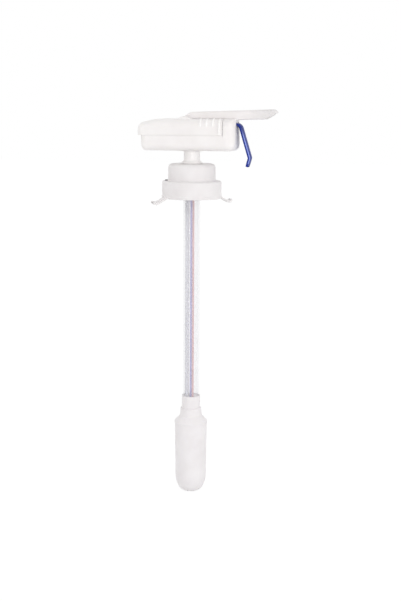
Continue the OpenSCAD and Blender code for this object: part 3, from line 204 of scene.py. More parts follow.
MATERIALS = {
    "white_plastic": surface("white_plastic", (238, 234, 233), (245, 242, 241), 45, (0.3, 0.42), 2600, 0.05,
                             Subsurface_Weight=0.5, Subsurface_Radius=(0.008, 0.008, 0.0075), IOR=1.49),
    "pump_plastic": surface("pump_plastic", (234, 230, 231), (241, 238, 239), 60, (0.36, 0.5), 2200, 0.06,
                            Subsurface_Weight=0.25, Subsurface_Radius=(0.006, 0.006, 0.0055), IOR=1.49),
    "silicone": surface("silicone", (237, 233, 233), (243, 240, 240), 70, (0.38, 0.55), 1800, 0.08,
                        Transmission_Weight=0.06, Subsurface_Weight=0.4, IOR=1.41,
                        Subsurface_Radius=(0.006, 0.006, 0.006)),
    "blue_plastic": surface("blue_plastic", (31, 47, 130), (40, 58, 146), 110, (0.45, 0.6), 2400, 0.04,
                            Specular_IOR_Level=0.15),
    "clear_plastic": surface("clear_plastic", (240, 240, 244), (247, 247, 250), 30, (0.08, 0.14), 400, 0.001,
                             (2, 2, 0.2), Alpha=0.16, IOR=1.45),
    # The hose's colour turns near white past x -3.4 mm, on its side toward the riser tube's middle: a painted
    # highlight
    "hose": surface("hose", (236, 236, 241), (244, 244, 248), 90, (0.25, 0.4), 1500, 0.05, (1, 1, 0.2),
                    fade=(0, -4.3, -3.4, (254, 254, 255)), Transmission_Weight=0.2, IOR=1.15),
    "red_plastic": surface("red_plastic", (212, 162, 162), (226, 180, 180), 140, (0.35, 0.5), 1800, 0.1,
                           IOR=1.47),
    "blue_wire": surface("blue_wire", (152, 146, 200), (170, 164, 214), 140, (0.35, 0.5), 1800, 0.1,
                         IOR=1.47),
    "seal_rubber": surface("seal_rubber", (122, 121, 121), (140, 139, 139), 160, (0.6, 0.8), 1600, 0.2),
    "black_plastic": surface("black_plastic", (22, 22, 24), (36, 36, 38), 130, (0.4, 0.6), 2000, 0.15),
    "magnet": surface("magnet", (46, 46, 50), (66, 66, 70), 220, (0.5, 0.7), 1500, 0.3),
    "cell_jacket": surface("cell_jacket", (40, 78, 122), (52, 94, 142), 35, (0.2, 0.32), 1400, 0.05,
                           (3, 1, 1), Metallic=0.4),
    "steel": brushed("steel", (168, 168, 170), (204, 204, 206), (0.24, 0.4)),
    "brass": brushed("brass", (176, 142, 76), (208, 172, 100), (0.25, 0.42)),
    "copper": brushed("copper", (160, 88, 52), (196, 116, 74), (0.3, 0.48)),
}

# Paler blue on the lever's rounded front edges: a painted highlight, fading back to the lever's blue between 57
# and 63 mm up
PAINTED_HIGHLIGHT_BLUE = surface("painted_highlight_blue", (134, 150, 228), (148, 164, 240), 110, (0.3, 0.4), 2400, 0.04,
                     fade=(2, 57, 63, (44, 60, 138)), Specular_IOR_Level=0.3)
# A paler, glossier copy of the white plastic: painted light, a highlight on the grip ribs and a lightening of the
# shade on the stem under the head
PAINTED_LIGHT_PLASTIC = surface("painted_light_plastic", (248, 246, 245), (254, 252, 251), 45, (0.22, 0.32), 2600, 0.03, IOR=1.49)
# A greyer copy of the white plastic for the spout, turning greyer still from 52 to 72 mm along X toward the tip:
# painted shade
SHADED_SPOUT_PLASTIC = surface("shaded_spout_plastic", (233, 229, 228), (240, 236, 235), 45, (0.3, 0.42), 2600, 0.05,
                        fade=(0, 52, 72, (222, 219, 219)), Subsurface_Weight=0.12,
                        Subsurface_Radius=(0.004, 0.004, 0.0035), IOR=1.49)


# Outlines and meshes

def rounded(points, steps=6, closed=True):
    """Outline with round corners: a point is (x, y) or (x, y, radius)."""
    made = []
    for i, point in enumerate(points):
        p = Vector(point[:2])
        radius = point[2] if len(point) > 2 else 0
        if not radius or (not closed and i in (0, len(points) - 1)):
            made.append((p.x, p.y))
            continue
        a = Vector(points[i - 1][:2]) - p
        b = Vector(points[(i + 1) % len(points)][:2]) - p
        half = a.angle(b) / 2
        reach = min(radius / math.tan(half), 0.49 * a.length, 0.49 * b.length)
        a, b = a.normalized() * reach, b.normalized() * reach
        centre = (a + b).normalized() * (reach / math.cos(half))
        start = a - centre
        turn = start.angle_signed(b - centre)
        for k in range(steps + 1):
            made.append(tuple(p + centre + Matrix.Rotation(-turn * k / steps, 2) @ start))
    return made


def lathe(outline, sides=128):
    """Closed outline of (radius, height) turned about the Z axis."""
    n = len(outline)
    verts = [(r * math.cos(a), r * math.sin(a), z) for a in (2 * math.pi * k / sides for k in range(sides))
             for r, z in outline]
    faces = [(k * n + i, k * n + (i + 1) % n, (k + 1) % sides * n + (i + 1) % n, (k + 1) % sides * n + i)
             for k in range(sides) for i in range(n)]
    return verts, faces


def joined(*parts):
    """Several (vertices, faces) as one."""
    verts, faces = [], []
    for v, f in parts:
        faces += [tuple(i + len(verts) for i in face) for face in f]
        verts += v
    return verts, faces


def loft(rings, closed_ends=True):
    """Skin over closed rings of equal length."""
    n = len(rings[0])
    faces = [(s * n + k, s * n + (k + 1) % n, (s + 1) * n + (k + 1) % n, (s + 1) * n + k)
             for s in range(len(rings) - 1) for k in range(n)]
    if closed_ends:
        faces += [tuple(range(n - 1, -1, -1)), tuple(range((len(rings) - 1) * n, len(rings) * n))]
    return [p for ring in rings for p in ring], faces


def turned(verts, degrees):
    turn = Matrix.Rotation(math.radians(degrees), 3, "Z")
    return [tuple(turn @ Vector(v)) for v in verts]


def moved(shape, x=0.0, y=0.0, z=0.0):
    return [(v[0] + x, v[1] + y, v[2] + z) for v in shape[0]], shape[1]


def block(a, b):
    """Box between two corners."""
    ring = [(a[0], a[1]), (b[0], a[1]), (b[0], b[1]), (a[0], b[1])]
    return loft([[(x, y, z) for x, y in ring] for z in (a[2], b[2])])


def tube(path, radius, sides=20, bore=0.0, first=(0, 1, 0)):
    """Round tube or wire along a path, without twist."""
    points, side, frames = [Vector(p) for p in path], Vector(first), []
    for i, p in enumerate(points):
        along = (points[min(i + 1, len(points) - 1)] - points[max(i - 1, 0)]).normalized()
        side = (side - side.dot(along) * along).normalized()
        frames.append((p, side, along.cross(side)))

    def skin(r):
        return [[tuple(p + r * (math.cos(a) * u + math.sin(a) * v))
                 for a in (2 * math.pi * k / sides for k in range(sides))] for p, u, v in frames]
    if not bore:
        return loft(skin(radius))
    outer, inner = skin(radius), skin(bore)
    return loft(outer + inner[::-1] + outer[:1], False)


def route(points, reach, steps=10):
    """Path with each corner drawn into a short curve."""
    p = [Vector(q) for q in points]
    made = [p[0]]
    for i in range(1, len(p) - 1):
        a = p[i] + (p[i - 1] - p[i]) * min(0.45, reach / (p[i - 1] - p[i]).length)
        b = p[i] + (p[i + 1] - p[i]) * min(0.45, reach / (p[i + 1] - p[i]).length)
        for t in (k / steps for k in range(steps + 1)):
            made.append(a * (1 - t) ** 2 + p[i] * 2 * t * (1 - t) + b * t * t)
    return made + [p[-1]]


TIP_STEPS = (0.2, 0.4, 0.55, 0.68, 0.78, 0.86, 0.92, 0.96, 1)
END_TURNS = (5, 25, 45, 70, 90)


def ribbon(path, width, thick, y=0.0, corner=0.8, round_ends=(True, True), tip_r=0.0):
    """Flat bar with soft edges along a path in the X and Z plane, centred on y, far corners rounded by tip_r."""
    points = [Vector(p) for p in path]
    if tip_r:
        points = points[:-1] + [points[-2].lerp(points[-1], t) for t in TIP_STEPS]
    outline = rounded([(-width / 2, -thick / 2, corner), (width / 2, -thick / 2, corner),
                       (width / 2, thick / 2, corner), (-width / 2, thick / 2, corner)], 4)
    rings = []
    for i, p in enumerate(points):
        along = (points[min(i + 1, len(points) - 1)] - points[max(i - 1, 0)]).normalized()
        across = Vector((-along.y, along.x))
        end = 0 if i == 0 else 1 if i == len(points) - 1 else None
        inward = 1 if end == 0 else -1 if end == 1 else 0
        turns = (90.0,) if end is None or not round_ends[end] else END_TURNS
        for a in turns if end == 0 else turns[::-1]:
            fall, shrink = math.cos(math.radians(a)), math.sin(math.radians(a))
            base = p - along * (thick / 2) * (fall * inward)
            base += along * (thick / 2) * inward * (1 if len(turns) > 1 else 0)
            narrow = arc_in((points[-1] - p).length + (1 - fall) * thick / 2, tip_r) if tip_r else 0
            slim = 1 - (1 - shrink) * thick / width - 2 * narrow / width
            rings.append([(base.x + across.x * up * shrink, y + wide * slim, base.y + across.y * up * shrink)
                          for wide, up in outline])
    return loft(rings)


def outward(mesh):
    """Faces of a closed mesh turned outward."""
    edit = bmesh.new()
    edit.from_mesh(mesh)
    bmesh.ops.remove_doubles(edit, verts=edit.verts, dist=1e-7)
    bmesh.ops.recalc_face_normals(edit, faces=edit.faces)
    edit.to_mesh(mesh)
    edit.free()


def piece(name, shape, slot, body, *nodes, angle=38, closed=True):
    """New piece from vertices in millimetres, smooth with crisp edges, on a CAD body if one is named."""
    mesh = bpy.data.meshes.new(name)
    mesh.from_pydata([Vector(v) * MM for v in shape[0]], [], shape[1])
    if closed:
        outward(mesh)
    obj = bpy.data.objects.new(name, mesh)
    bpy.context.scene.collection.objects.link(obj)
    obj.data.materials.append(MATERIALS[slot])
    smooth(obj, angle)
    if body:
        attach(obj, body)
    if nodes:
        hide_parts(*nodes)
    return obj


def smooth(obj, angle):
    obj.data.polygons.foreach_set("use_smooth", [True] * len(obj.data.polygons))
    obj.data.set_sharp_from_angle(angle=math.radians(angle))


def settle(obj, angle=38):
    """Modifiers become the mesh."""
    bpy.context.view_layer.update()
    made = bpy.data.meshes.new_from_object(obj.evaluated_get(bpy.context.evaluated_depsgraph_get()))
    obj.modifiers.clear()
    obj.data = made
    smooth(obj, angle)


def cut(obj, *shapes):
    """Shapes taken out of a piece."""
    for shape in shapes:
        mesh = bpy.data.meshes.new("cutter")
        mesh.from_pydata([Vector(v) * MM for v in shape[0]], [], shape[1])
        outward(mesh)
        cutter = bpy.data.objects.new("cutter", mesh)
        bpy.context.scene.collection.objects.link(cutter)
        change = obj.modifiers.new("cut", "BOOLEAN")
        change.object, change.operation, change.solver = cutter, "DIFFERENCE", "EXACT"
        settle(obj)
        bpy.data.objects.remove(cutter)


def soften(obj, width, segments=2, limit=50):
    """Small round on the sharp edges."""
    change = obj.modifiers.new("edges", "BEVEL")
    change.width, change.segments = width * MM, segments
    change.limit_method, change.angle_limit = "ANGLE", math.radians(limit)
    change.harden_normals = False
    settle(obj)


# Head: a grid of stations along the head and rows round its section

FLAT_ROWS, LOW_ROWS, SIDE_ROWS, TOP_ROWS, ROOF_ROWS, ROOF_CUT = 5, 8, 4, 16, 6, 9
SEAM_LOW = FLAT_ROWS + LOW_ROWS + SIDE_ROWS
SEAM_HIGH = SEAM_LOW + 1
ROOF_ROW = SEAM_HIGH + SIDE_ROWS + ROOF_CUT
HALF = SEAM_HIGH + SIDE_ROWS + TOP_ROWS + ROOF_ROWS


def ease(t):
    t = min(max(t, 0.0), 1.0)
    return t * t * (3 - 2 * t)


def arc_in(distance, radius):
    """How far an arc has still to rise, at a distance from where it starts."""
    return radius - math.sqrt(max(radius ** 2 - max(radius - distance, 0) ** 2, 0))


def section(u, rear):
    """Half section of the head at one station, from the bottom's middle to the top's middle, as points."""
    back, ahead = u + rear, FRONT - u
    w = HALF_W - arc_in(back, PLAN_REAR_R) - arc_in(ahead, PLAN_FRONT_R)
    low = HEAD_Z + arc_in(back, LOW_REAR_R) + arc_in(ahead, LOW_FRONT_R)
    drop = 1 - math.sqrt(max(1 - (max(BACK_LEN - back, 0) / BACK_LEN) ** 2, 0))
    high = HEAD_TOP - BACK_DROP * drop - arc_in(ahead, NOSE_EDGE)
    full = min(ease(back / END_RUN), ease(ahead / END_RUN))
    top_r = END_TOP_R + (SECTION_TOP_R - END_TOP_R) * full
    low_r = END_LOW_R + (SECTION_LOW_R - END_LOW_R) * full
    rows = [((w - low_r) * k / FLAT_ROWS, low) for k in range(FLAT_ROWS + 1)]
    rows += [(w - low_r + low_r * math.sin(a), low + low_r - low_r * math.cos(a))
             for a in (math.pi / 2 * k / LOW_ROWS for k in range(1, LOW_ROWS + 1))]
    start, stop = low + low_r, SEAM_Z - SEAM_GAP
    rows += [(w, start + (stop - start) * k / SIDE_ROWS) for k in range(1, SIDE_ROWS + 1)] + [(w, SEAM_Z)]
    rows += [(w, SEAM_Z + (high - top_r - SEAM_Z) * k / SIDE_ROWS) for k in range(1, SIDE_ROWS + 1)]
    rows += [(w - top_r + top_r * math.cos(a), high - top_r + top_r * math.sin(a))
             for a in (math.pi / 2 * k / TOP_ROWS for k in range(1, TOP_ROWS + 1))]
    rows += [((w - top_r) * (1 - k / ROOF_ROWS), high) for k in range(1, ROOF_ROWS + 1)]
    lean = RAKE * ease((u - NOSE_X - RAKE_START) / RAKE_RUN)
    return [(u - lean * max(z - RAKE_Z, 0) / RAKE_H, y, z) for y, z in rows]


def stations(rear, start, end):
    """Places along the head, close together where it curves."""
    u = [-rear + BACK_LEN * (1 - math.cos(math.pi / 2 * k / 40)) for k in range(41)]
    u += [-rear + BACK_LEN + 4 * k for k in range(1, 30)] + [NOSE_X, NOSE_X - COVER_GAP]
    u += [FRONT - PLAN_FRONT_R * (1 - math.sin(math.pi / 2 * k / 24)) for k in range(25)]
    return sorted({round(x, 4) for x in u if start <= x <= end})


def head_skin(rear, start, end, rows, nose_rows=None, caps=(True, True)):
    """Part of the head's skin: rows is a range round the section, nose_rows the range in front of the cover."""
    places = stations(rear, start, end)
    rings = []
    for u in places:
        half = section(u, rear)
        rings.append(half + [(x, -y, z) for x, y, z in half[-2:0:-1]])
    n = 2 * HALF
    faces = []
    for s in range(len(places) - 1):
        span = nose_rows if nose_rows and places[s] >= NOSE_X else rows
        faces += [(s * n + j % n, s * n + (j + 1) % n, (s + 1) * n + (j + 1) % n, (s + 1) * n + j % n)
                  for j in range(span[0], span[1])]
    last = nose_rows or rows
    if caps[0]:
        faces.append(tuple(j % n for j in range(rows[1], rows[0] - 1, -1)))
    if caps[1]:
        faces.append(tuple((len(places) - 1) * n + j % n for j in range(last[0], last[1] + 1)))
    return [p for ring in rings for p in ring], faces


def shell(name, shape, slot, body, *nodes):
    """Thin moulded wall inward of a skin."""
    obj = piece(name, shape, slot, body, *nodes, closed=False)
    edit = bmesh.new()
    edit.from_mesh(obj.data)
    bmesh.ops.delete(edit, geom=[v for v in edit.verts if not v.link_faces], context="VERTS")
    middle = sum((v.co for v in edit.verts), Vector()) / len(edit.verts)
    bmesh.ops.recalc_face_normals(edit, faces=edit.faces)
    if sum((f.calc_center_median() - middle).dot(f.normal) * f.calc_area() for f in edit.faces) < 0:
        bmesh.ops.reverse_faces(edit, faces=edit.faces)
    edit.to_mesh(obj.data)
    edit.free()
    change = obj.modifiers.new("wall", "SOLIDIFY")
    change.thickness, change.offset, change.use_even_offset = WALL * MM, -1, True
    settle(obj)
    return obj


def grip_ribs(side):
    """Raised ribs that follow the cover's side, the front one longer."""
    parts = []
    for i in range(RIB_COUNT):
        x = RIB_FRONT - i * RIB_PITCH
        low = SEAM_Z + RIB_W / 2 if i == 0 else HEAD_TOP - RIB_DROP
        foot = max(low - HEAD_TOP + SECTION_TOP_R, 0)
        outline = [(HALF_W, low + (HEAD_TOP - SECTION_TOP_R - low) * k / 8, 1, 0) for k in range(8) if not foot]
        start = math.asin(foot / SECTION_TOP_R)
        for k in range(15):
            a = start + (math.radians(88) - start) * k / 14
            outline.append((HALF_W - SECTION_TOP_R * (1 - math.cos(a)),
                            HEAD_TOP - SECTION_TOP_R * (1 - math.sin(a)), math.cos(a), math.sin(a)))
        rings = []
        for k, (y, z, ny, nz) in enumerate(outline):
            rise = RIB_OUT * min(1.0, math.sin(math.pi * (k + 0.35) / (len(outline) - 0.3)) * 2.4)
            rings.append([(x + RIB_W / 2 * c, side * (y + ny * h), z + nz * h) for c, h in
                          [(-1, -0.5), (-1, 0), (-0.8, rise * 0.75), (-0.4, rise), (0.4, rise),
                           (0.8, rise * 0.75), (1, 0), (1, -0.5)]])
        parts.append(loft(rings))
    return joined(*parts)


def finger_hump(side):
    """Low hump beside the spine, to push the cover with."""
    along, over = 24, 16
    rings = []
    for i in range(along + 1):
        u = -1 + 2 * i / along
        x = HUMP_X + u * HUMP_LEN / 2
        ring = [(x, side * (HUMP_Y + HUMP_W / 2), HEAD_TOP - WALL),
                (x, side * (HUMP_Y - HUMP_W / 2), HEAD_TOP - WALL)]
        for k in range(over + 1):
            v = -1 + 2 * k / over
            rise = HUMP_H * (1 - u * u) * (1 - abs(v) ** 5) ** 0.5
            fall = HUMP_FALL * max(v, 0) ** 2
            ring.append((x, side * (HUMP_Y + v * HUMP_W / 2), HEAD_TOP - HUMP_SINK + rise - fall))
        rings.append(ring)
    return loft(rings)


def make_head():
    lower, upper = (-SEAM_LOW, SEAM_LOW), (SEAM_HIGH, 2 * HALF - SEAM_HIGH)
    nose = (-ROOF_ROW, ROOF_ROW)
    housing = shell("housing_shell", head_skin(REAR, -REAR, FRONT, lower, nose), "white_plastic", "head",
                    "main_housing")
    cut(housing, *[block((PIVOT[0], y, SLOT_LOW), (FRONT + 4, y + SLOT_W, SLOT_HIGH))
                   for y in (-SLOT_OUT, SLOT_IN)])
    soften(housing, 0.1)
    over = head_skin(COVER_REAR, -COVER_REAR, NOSE_X - COVER_GAP, upper, None, (True, False))
    cover = shell("cover_shell", over, "white_plastic", "cover", "battery_cover")
    soften(cover, 0.1)
    grips = piece("cover_grips", joined(grip_ribs(1), grip_ribs(-1)), "white_plastic", "cover")
    # The ribs take the paler copy of the white plastic: a painted highlight
    grips.data.materials[0] = PAINTED_LIGHT_PLASTIC
    piece("cover_humps", joined(finger_hump(1), finger_hump(-1)), "white_plastic", "cover")
    boss = lathe(rounded([(NECK_BORE_R, NECK_LOW, 0.2), (NECK_R, NECK_LOW, 0.4), (NECK_ROOT_R, NECK_TOP),
                          (NECK_BORE_R, NECK_TOP)]))
    piece("housing_neck_boss", boss, "white_plastic", "head")
    make_housing_inside()
    make_spout()


def make_housing_inside():
    """Rails, tray shelves, screw posts, switch bracket and lever bearings inside the housing."""
    parts = []
    for s in (-1, 1):
        for a, b in SIDE_BOXES.values():
            parts.append(block((a[0], min(s * a[1], s * b[1]), a[2]), (b[0], max(s * a[1], s * b[1]), b[2])))
    parts.append(block(*SWITCH_BRACKET))
    for low, high in BEARING_SPANS:
        parts.append(block((NOSE_X + SEAM_GAP, low, BEARING_LOW), (BEARING_FRONT, high, BEARING_TOP)))
    post = lathe(rounded([(POST_BORE_R, POST_FLOOR), (POST_BORE_R, POST_TOP, 0.2), (POST_R, POST_TOP, 0.3),
                          (POST_R, POST_LOW), (POST_BORE_R, POST_LOW)]), 32)
    parts += [moved(post, x) for x in POSTS_X]
    soften(piece("housing_inside", joined(*parts), "white_plastic", "head"), 0.15)


def make_spout():
    """Spine, spout and the nose's roof."""
    seat = HEAD_TOP + SPINE_CLEAR
    top = rounded([(SPINE_REAR, seat), (SPINE_REAR + SPINE_RISE, SPINE_TOP, SPINE_ROUND),
                   (SPOUT_TIP - TIP_NOSE, TIP_TOP, TIP_ROUND), (SPOUT_TIP, TIP_TOP - TIP_DROP)], 10, False)
    under = rounded([(SPINE_REAR, seat - 0.01), (NOSE_X + 0.1, seat - 0.01), (NOSE_X + 0.16, HEAD_TOP - ROOF_SINK),
                     (SPOUT_TIP - TIP_BACK, TIP_TOP - SPOUT_DEPTH, UNDER_ROUND),
                     (SPOUT_TIP, TIP_TOP - TIP_DROP - TIP_FACE)], 10, False)
    places = {round(x, 3) for x, _ in top + under}
    places |= {SPINE_REAR + (SPOUT_TIP - SPINE_REAR) * k / 70 for k in range(71)}
    places |= {SPOUT_TIP - SPOUT_TIP_LEN * (1 - math.sin(math.pi / 2 * k / 16)) for k in range(17)}
    rings = []
    for x in sorted(x for x in places if SPINE_REAR <= x <= SPOUT_TIP):
        high, low = height_at(top, x), height_at(under, x)
        hw = SPOUT_HW - arc_in((SPOUT_TIP - x) * SPOUT_TIP_R / SPOUT_TIP_LEN, SPOUT_TIP_R)
        edge = max(min(SPOUT_EDGE_R, (high - low) * 0.48, hw * 0.8), 0.02)
        foot = max(min(SPOUT_FOOT_R if x > FRONT else SPINE_FOOT_R, (high - low) * 0.3, hw * 0.3), 0.01)
        draft = SPOUT_DRAFT * min(max(x - FRONT, 0) / SPOUT_SLIM_LEN, 1)
        slim = hw - draft * min((high - low) / 8, hw / SPOUT_HW)
        lid = max(high, low + LEAST_H)
        ring = rounded([(-slim, low, foot), (slim, low, foot), (hw, lid, edge), (-hw, lid, edge)], 7)
        rings.append([(x, y, z) for y, z in ring])
    bar = piece("spout_bar", loft(rings), "white_plastic", "head", "spout")
    cut(bar, block((NOSE_X + CHANNEL_START, -CHANNEL_HW, CHANNEL_LOW),
                   (SPOUT_TIP + 2, CHANNEL_HW, CHANNEL_LOW + CHANNEL_H)))
    soften(bar, 0.18, 2, 60)
    # The spout takes the greyer copy of the white plastic: painted shade
    bar.data.materials[0] = SHADED_SPOUT_PLASTIC
    lid = head_skin(REAR, NOSE_X, FRONT, (ROOF_ROW, 2 * HALF - ROOF_ROW), None, (False, True))
    roof = shell("nose_roof", lid, "white_plastic", "head")
    soften(roof, 0.12)


def height_at(line, x):
    """Height of a line of points at a place along X."""
    for (x0, z0), (x1, z1) in zip(line, line[1:]):
        if x0 <= x <= x1 and x1 > x0:
            return z0 + (z1 - z0) * (x - x0) / (x1 - x0)
    return line[-1][1] if x > line[-1][0] else line[0][1]


def arc_points(centre, radius, start, end, steps):
    return [(centre[0] + radius * math.cos(math.radians(start + (end - start) * k / steps)),
             centre[1] + radius * math.sin(math.radians(start + (end - start) * k / steps)))
            for k in range(steps + 1)]


def make_lever():
    shoulder = arc_points(SHOULDER_C, SHOULDER_R, ARM_RISE + 90, RUN_TURN + 90, 16)
    heel = arc_points(HEEL_C, HEEL_R, RUN_TURN + 90, TOE_TURN + 90, 10)
    toe = (heel[-1][0] + TOE_LEN * math.cos(math.radians(TOE_TURN)),
           heel[-1][1] + TOE_LEN * math.sin(math.radians(TOE_TURN)))
    fork = [p for p in shoulder if p[0] > FORK_X]
    arm = [PIVOT] + [p for p in shoulder if p[0] <= FORK_X + 0.6]
    plate = ribbon(fork + heel + [toe], LEVER_W, LEVER_T, 0, ARRIS_R, (False, True), TOE_R)
    arm_w = LEVER_W / 2 - ARM_GAP
    parts = [plate]
    for s in (-1, 1):
        y = s * (ARM_GAP + arm_w / 2)
        parts.append(ribbon(arm, arm_w, LEVER_T, y, 0.5, (True, False)))
        boss = lathe(rounded([(PIN_R + PIN_FIT, -arm_w / 2), (BOSS_R, -arm_w / 2, 0.4), (BOSS_R, arm_w / 2, 0.4),
                              (PIN_R + PIN_FIT, arm_w / 2)]), 48)
        parts.append(([(PIVOT[0] + v[0], y + v[2], PIVOT[1] + v[1]) for v in boss[0]], boss[1]))
        x = PIVOT[0] - FINGER_BACK
        parts.append(block((x, y - arm_w / 2, PIVOT[1] - FINGER_LEN),
                           (x + FINGER_T - FINGER_SLIM, y + arm_w / 2, PIVOT[1] - FINGER_ROOT)))
    lever = piece("lever_skin", joined(*parts), "blue_plastic", "lever", "dispense_lever", angle=48)
    # Faces on the rounded front edges, between the two heights, take the paler blue: a painted highlight along the
    # lever's edges
    lever.data.materials.append(PAINTED_HIGHLIGHT_BLUE)
    for face in lever.data.polygons:
        along = PAINTED_HIGHLIGHT_LOW * MM < face.center.z < PAINTED_HIGHLIGHT_HIGH * MM and face.normal.x > 0
        face.material_index = int(along and PAINTED_HIGHLIGHT_LEAST < abs(face.normal.y) < PAINTED_HIGHLIGHT_MOST)


def make_return_spring():
    """Torsion spring on the far pin, with a bent leg at the lever's finger and a straight leg toward the head; the
    piece is on no body, so nothing moves or bends it.
    """
    arm_out = LEVER_W / 2
    y0 = arm_out + SLIDE_GAP + SPRING_WIRE / 2
    y1 = y0 + SPRING_PITCH * SPRING_TURNS
    leg_x, leg_z = PIVOT[0] - FINGER_BACK - SLIDE_GAP - SPRING_WIRE / 2, PIVOT[1] - FINGER_LEN
    path = [(leg_x, arm_out - LEG_HOOK, leg_z + LEG_LOW), (leg_x, arm_out - LEG_BEND, leg_z + LEG_LOW),
            (leg_x, y0, leg_z + LEG_TURN), (leg_x, y0, PIVOT[1] - LEG_TOP)]
    steps = 24 * SPRING_TURNS
    for i in range(steps + 1):
        a = math.pi + 2 * math.pi * SPRING_TURNS * i / steps
        path.append((PIVOT[0] + SPRING_R * math.cos(a), y0 + (y1 - y0) * i / steps,
                     PIVOT[1] + SPRING_R * math.sin(a)))
    path += [(PIVOT[0] - SPRING_R - back, y1, PIVOT[1] - drop) for back, drop in FIXED_LEG]
    wire = tube(path, SPRING_WIRE / 2, 12, first=(1, 0, 0))
    spring = piece("return_spring_skin", wire, "steel", None, "lever_return_spring", angle=60)
    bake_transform(spring)


def make_collar():
    outline = rounded([
        (SKIRT_BORE_R, 0, 0.5), (RIM_R, 0, 0.7), (RIM_R, RIM_H, 0.4), (SKIRT_R, RIM_H + 0.4, 0.3),
        (SKIRT_R, SKIRT_H, 1.8), (CROWN_R, SKIRT_H, 0.8), (CROWN_R, CAP_TOP, CROWN_ROUND),
        (HUB_R, CAP_TOP, 0.3), (HUB_R, CAP_TOP - CROWN_T), (CROWN_BORE_R, CAP_TOP - CROWN_T, 1.2),
        (CROWN_BORE_R, SKIRT_H - LEDGE_T, 0.4), (SKIRT_BORE_R, SKIRT_H - LEDGE_T, 0.8)], 8)
    collar = piece("collar_skin", lathe(outline, 160), "silicone", "collar", "bottle_collar", angle=50)
    low, high = SKIRT_H - LEDGE_T - 1, SKIRT_H + 1
    vent = lathe([(0, low), (VENT_R, low), (VENT_R, high), (0, high)], 24)
    place = math.radians(VENT_TURN)
    cut(collar, moved(vent, VENT_AT * math.cos(place), VENT_AT * math.sin(place)))
    tab = ribbon(rounded(TAB_PATH, 8, False), TAB_W, TAB_T, 0, 0.7, (False, True), 3.0)
    tabs = joined(*[(turned(tab[0], t), tab[1]) for t in TAB_TURNS])
    piece("collar_tabs", tabs, "silicone", "collar", angle=50)


def make_stem():
    outline = rounded([
        (STEM_BORE_R, SPIGOT_LOW, 0.3), (SPIGOT_R, SPIGOT_LOW, 0.4), (SPIGOT_R, JOURNAL_LOW),
        (JOURNAL_R, JOURNAL_LOW, 0.2), (JOURNAL_R, FLARE_Z), (FLARE_R, FLARE_Z, 0.3),
        (FLARE_R, FLARE_Z + FLARE_RIM_H, 0.5), (STEM_R + FLARE_NECK_OUT, FLARE_Z + FLARE_NECK_H, 0.9),
        (STEM_R, FLARE_Z + FLARE_H, 1.2), (STEM_R, STEM_TOP, 0.3), (STEM_BORE_R, STEM_TOP, 0.3)], 8)
    stem = piece("stem_skin", lathe(outline), "white_plastic", "head", "stem", angle=45)
    # The stem takes the paler copy of the white plastic: painted light against the shade under the head
    stem.data.materials[0] = PAINTED_LIGHT_PLASTIC


def make_riser():
    bond_top = SOCKET_TOP - BOND_DROP
    clear = rounded([(RISER_BORE_R, bond_top), (RISER_R, bond_top), (RISER_R, JOURNAL_LOW, 0.2),
                     (RISER_BORE_R, JOURNAL_LOW, 0.2)], 3)
    piece("riser_skin", lathe(clear), "clear_plastic", "head", "riser_tube", angle=50)
    bond = rounded([(RISER_BORE_R, RISER_LOW, 0.2), (RISER_R, RISER_LOW, 0.2), (RISER_R, bond_top),
                    (RISER_BORE_R, bond_top)], 3)
    piece("riser_bond", lathe(bond), "pump_plastic", "head", angle=50)
    piece("hose_skin", tube(route(HOSE, 7), HOSE_R, 24, HOSE_BORE_R), "hose", "head", "water_hose", angle=60)
    piece("red_wire_skin", tube(route(RED, 4), WIRE_R, 16), "red_plastic", "head", "red_wire", angle=60)
    piece("blue_wire_skin", tube(route(BLUE, 4), WIRE_R, 16), "blue_wire", "head", "blue_wire", angle=60)
    piece("battery_lead_skin", tube(route(LEAD, 2), WIRE_R, 16), "red_plastic", "head", "battery_lead",
          angle=60)


def make_pump():
    plug_r, plug_low = CUP_BORE_R - SOCKET_FIT, RIDGE_Z - CAP_PLUG_H
    cap = rounded([
        (RISER_R + SOCKET_FIT, SOCKET_TOP, 0.15), (SOCKET_R, SOCKET_TOP, 0.3), (SOCKET_R, RING_TOP),
        (RING_R, RING_TOP, 0.25), (RING_R + RING_FLARE, RING_LOW, 0.8), (PUMP_R, RIDGE_Z + RIDGE_T, 0.5),
        (PUMP_R, RIDGE_Z, 0.35), (CUP_R - CAP_SEAT, RIDGE_Z), (plug_r, RIDGE_Z), (plug_r, plug_low),
        (CAP_PLUG_BORE_R, plug_low), (CAP_PLUG_BORE_R, RIDGE_Z), (THROAT_R, RING_LOW - THROAT_RISE),
        (THROAT_R, RISER_LOW), (RISER_R + SOCKET_FIT, RISER_LOW)], 6)
    piece("pump_cap_skin", lathe(cap), "pump_plastic", "head", "pump_cap", angle=40)
    foot = [(FOOT_R + (CUP_R - CUP_TAPER - FOOT_R) * math.cos(a),
             CUP_ROUND_Z + (CUP_ROUND_Z - PUMP_LOW) * math.sin(a))
            for a in (-math.pi / 2 * k / 40 for k in range(41))]
    inlet_top = PUMP_LOW + INLET_T
    cup = [(CUP_R, RIDGE_Z)] + foot + [
        (INLET_R, PUMP_LOW), (INLET_R, inlet_top), (EYE_R, inlet_top), (EYE_R, EYE_TOP), (CHAMBER_R, EYE_TOP),
        (CHAMBER_R, CUP_FLOOR), (CUP_BORE_R, CUP_FLOOR), (CUP_BORE_R, RIDGE_Z)]
    piece("pump_cup_skin", lathe(cup), "pump_plastic", "head", "pump_cup", angle=40)


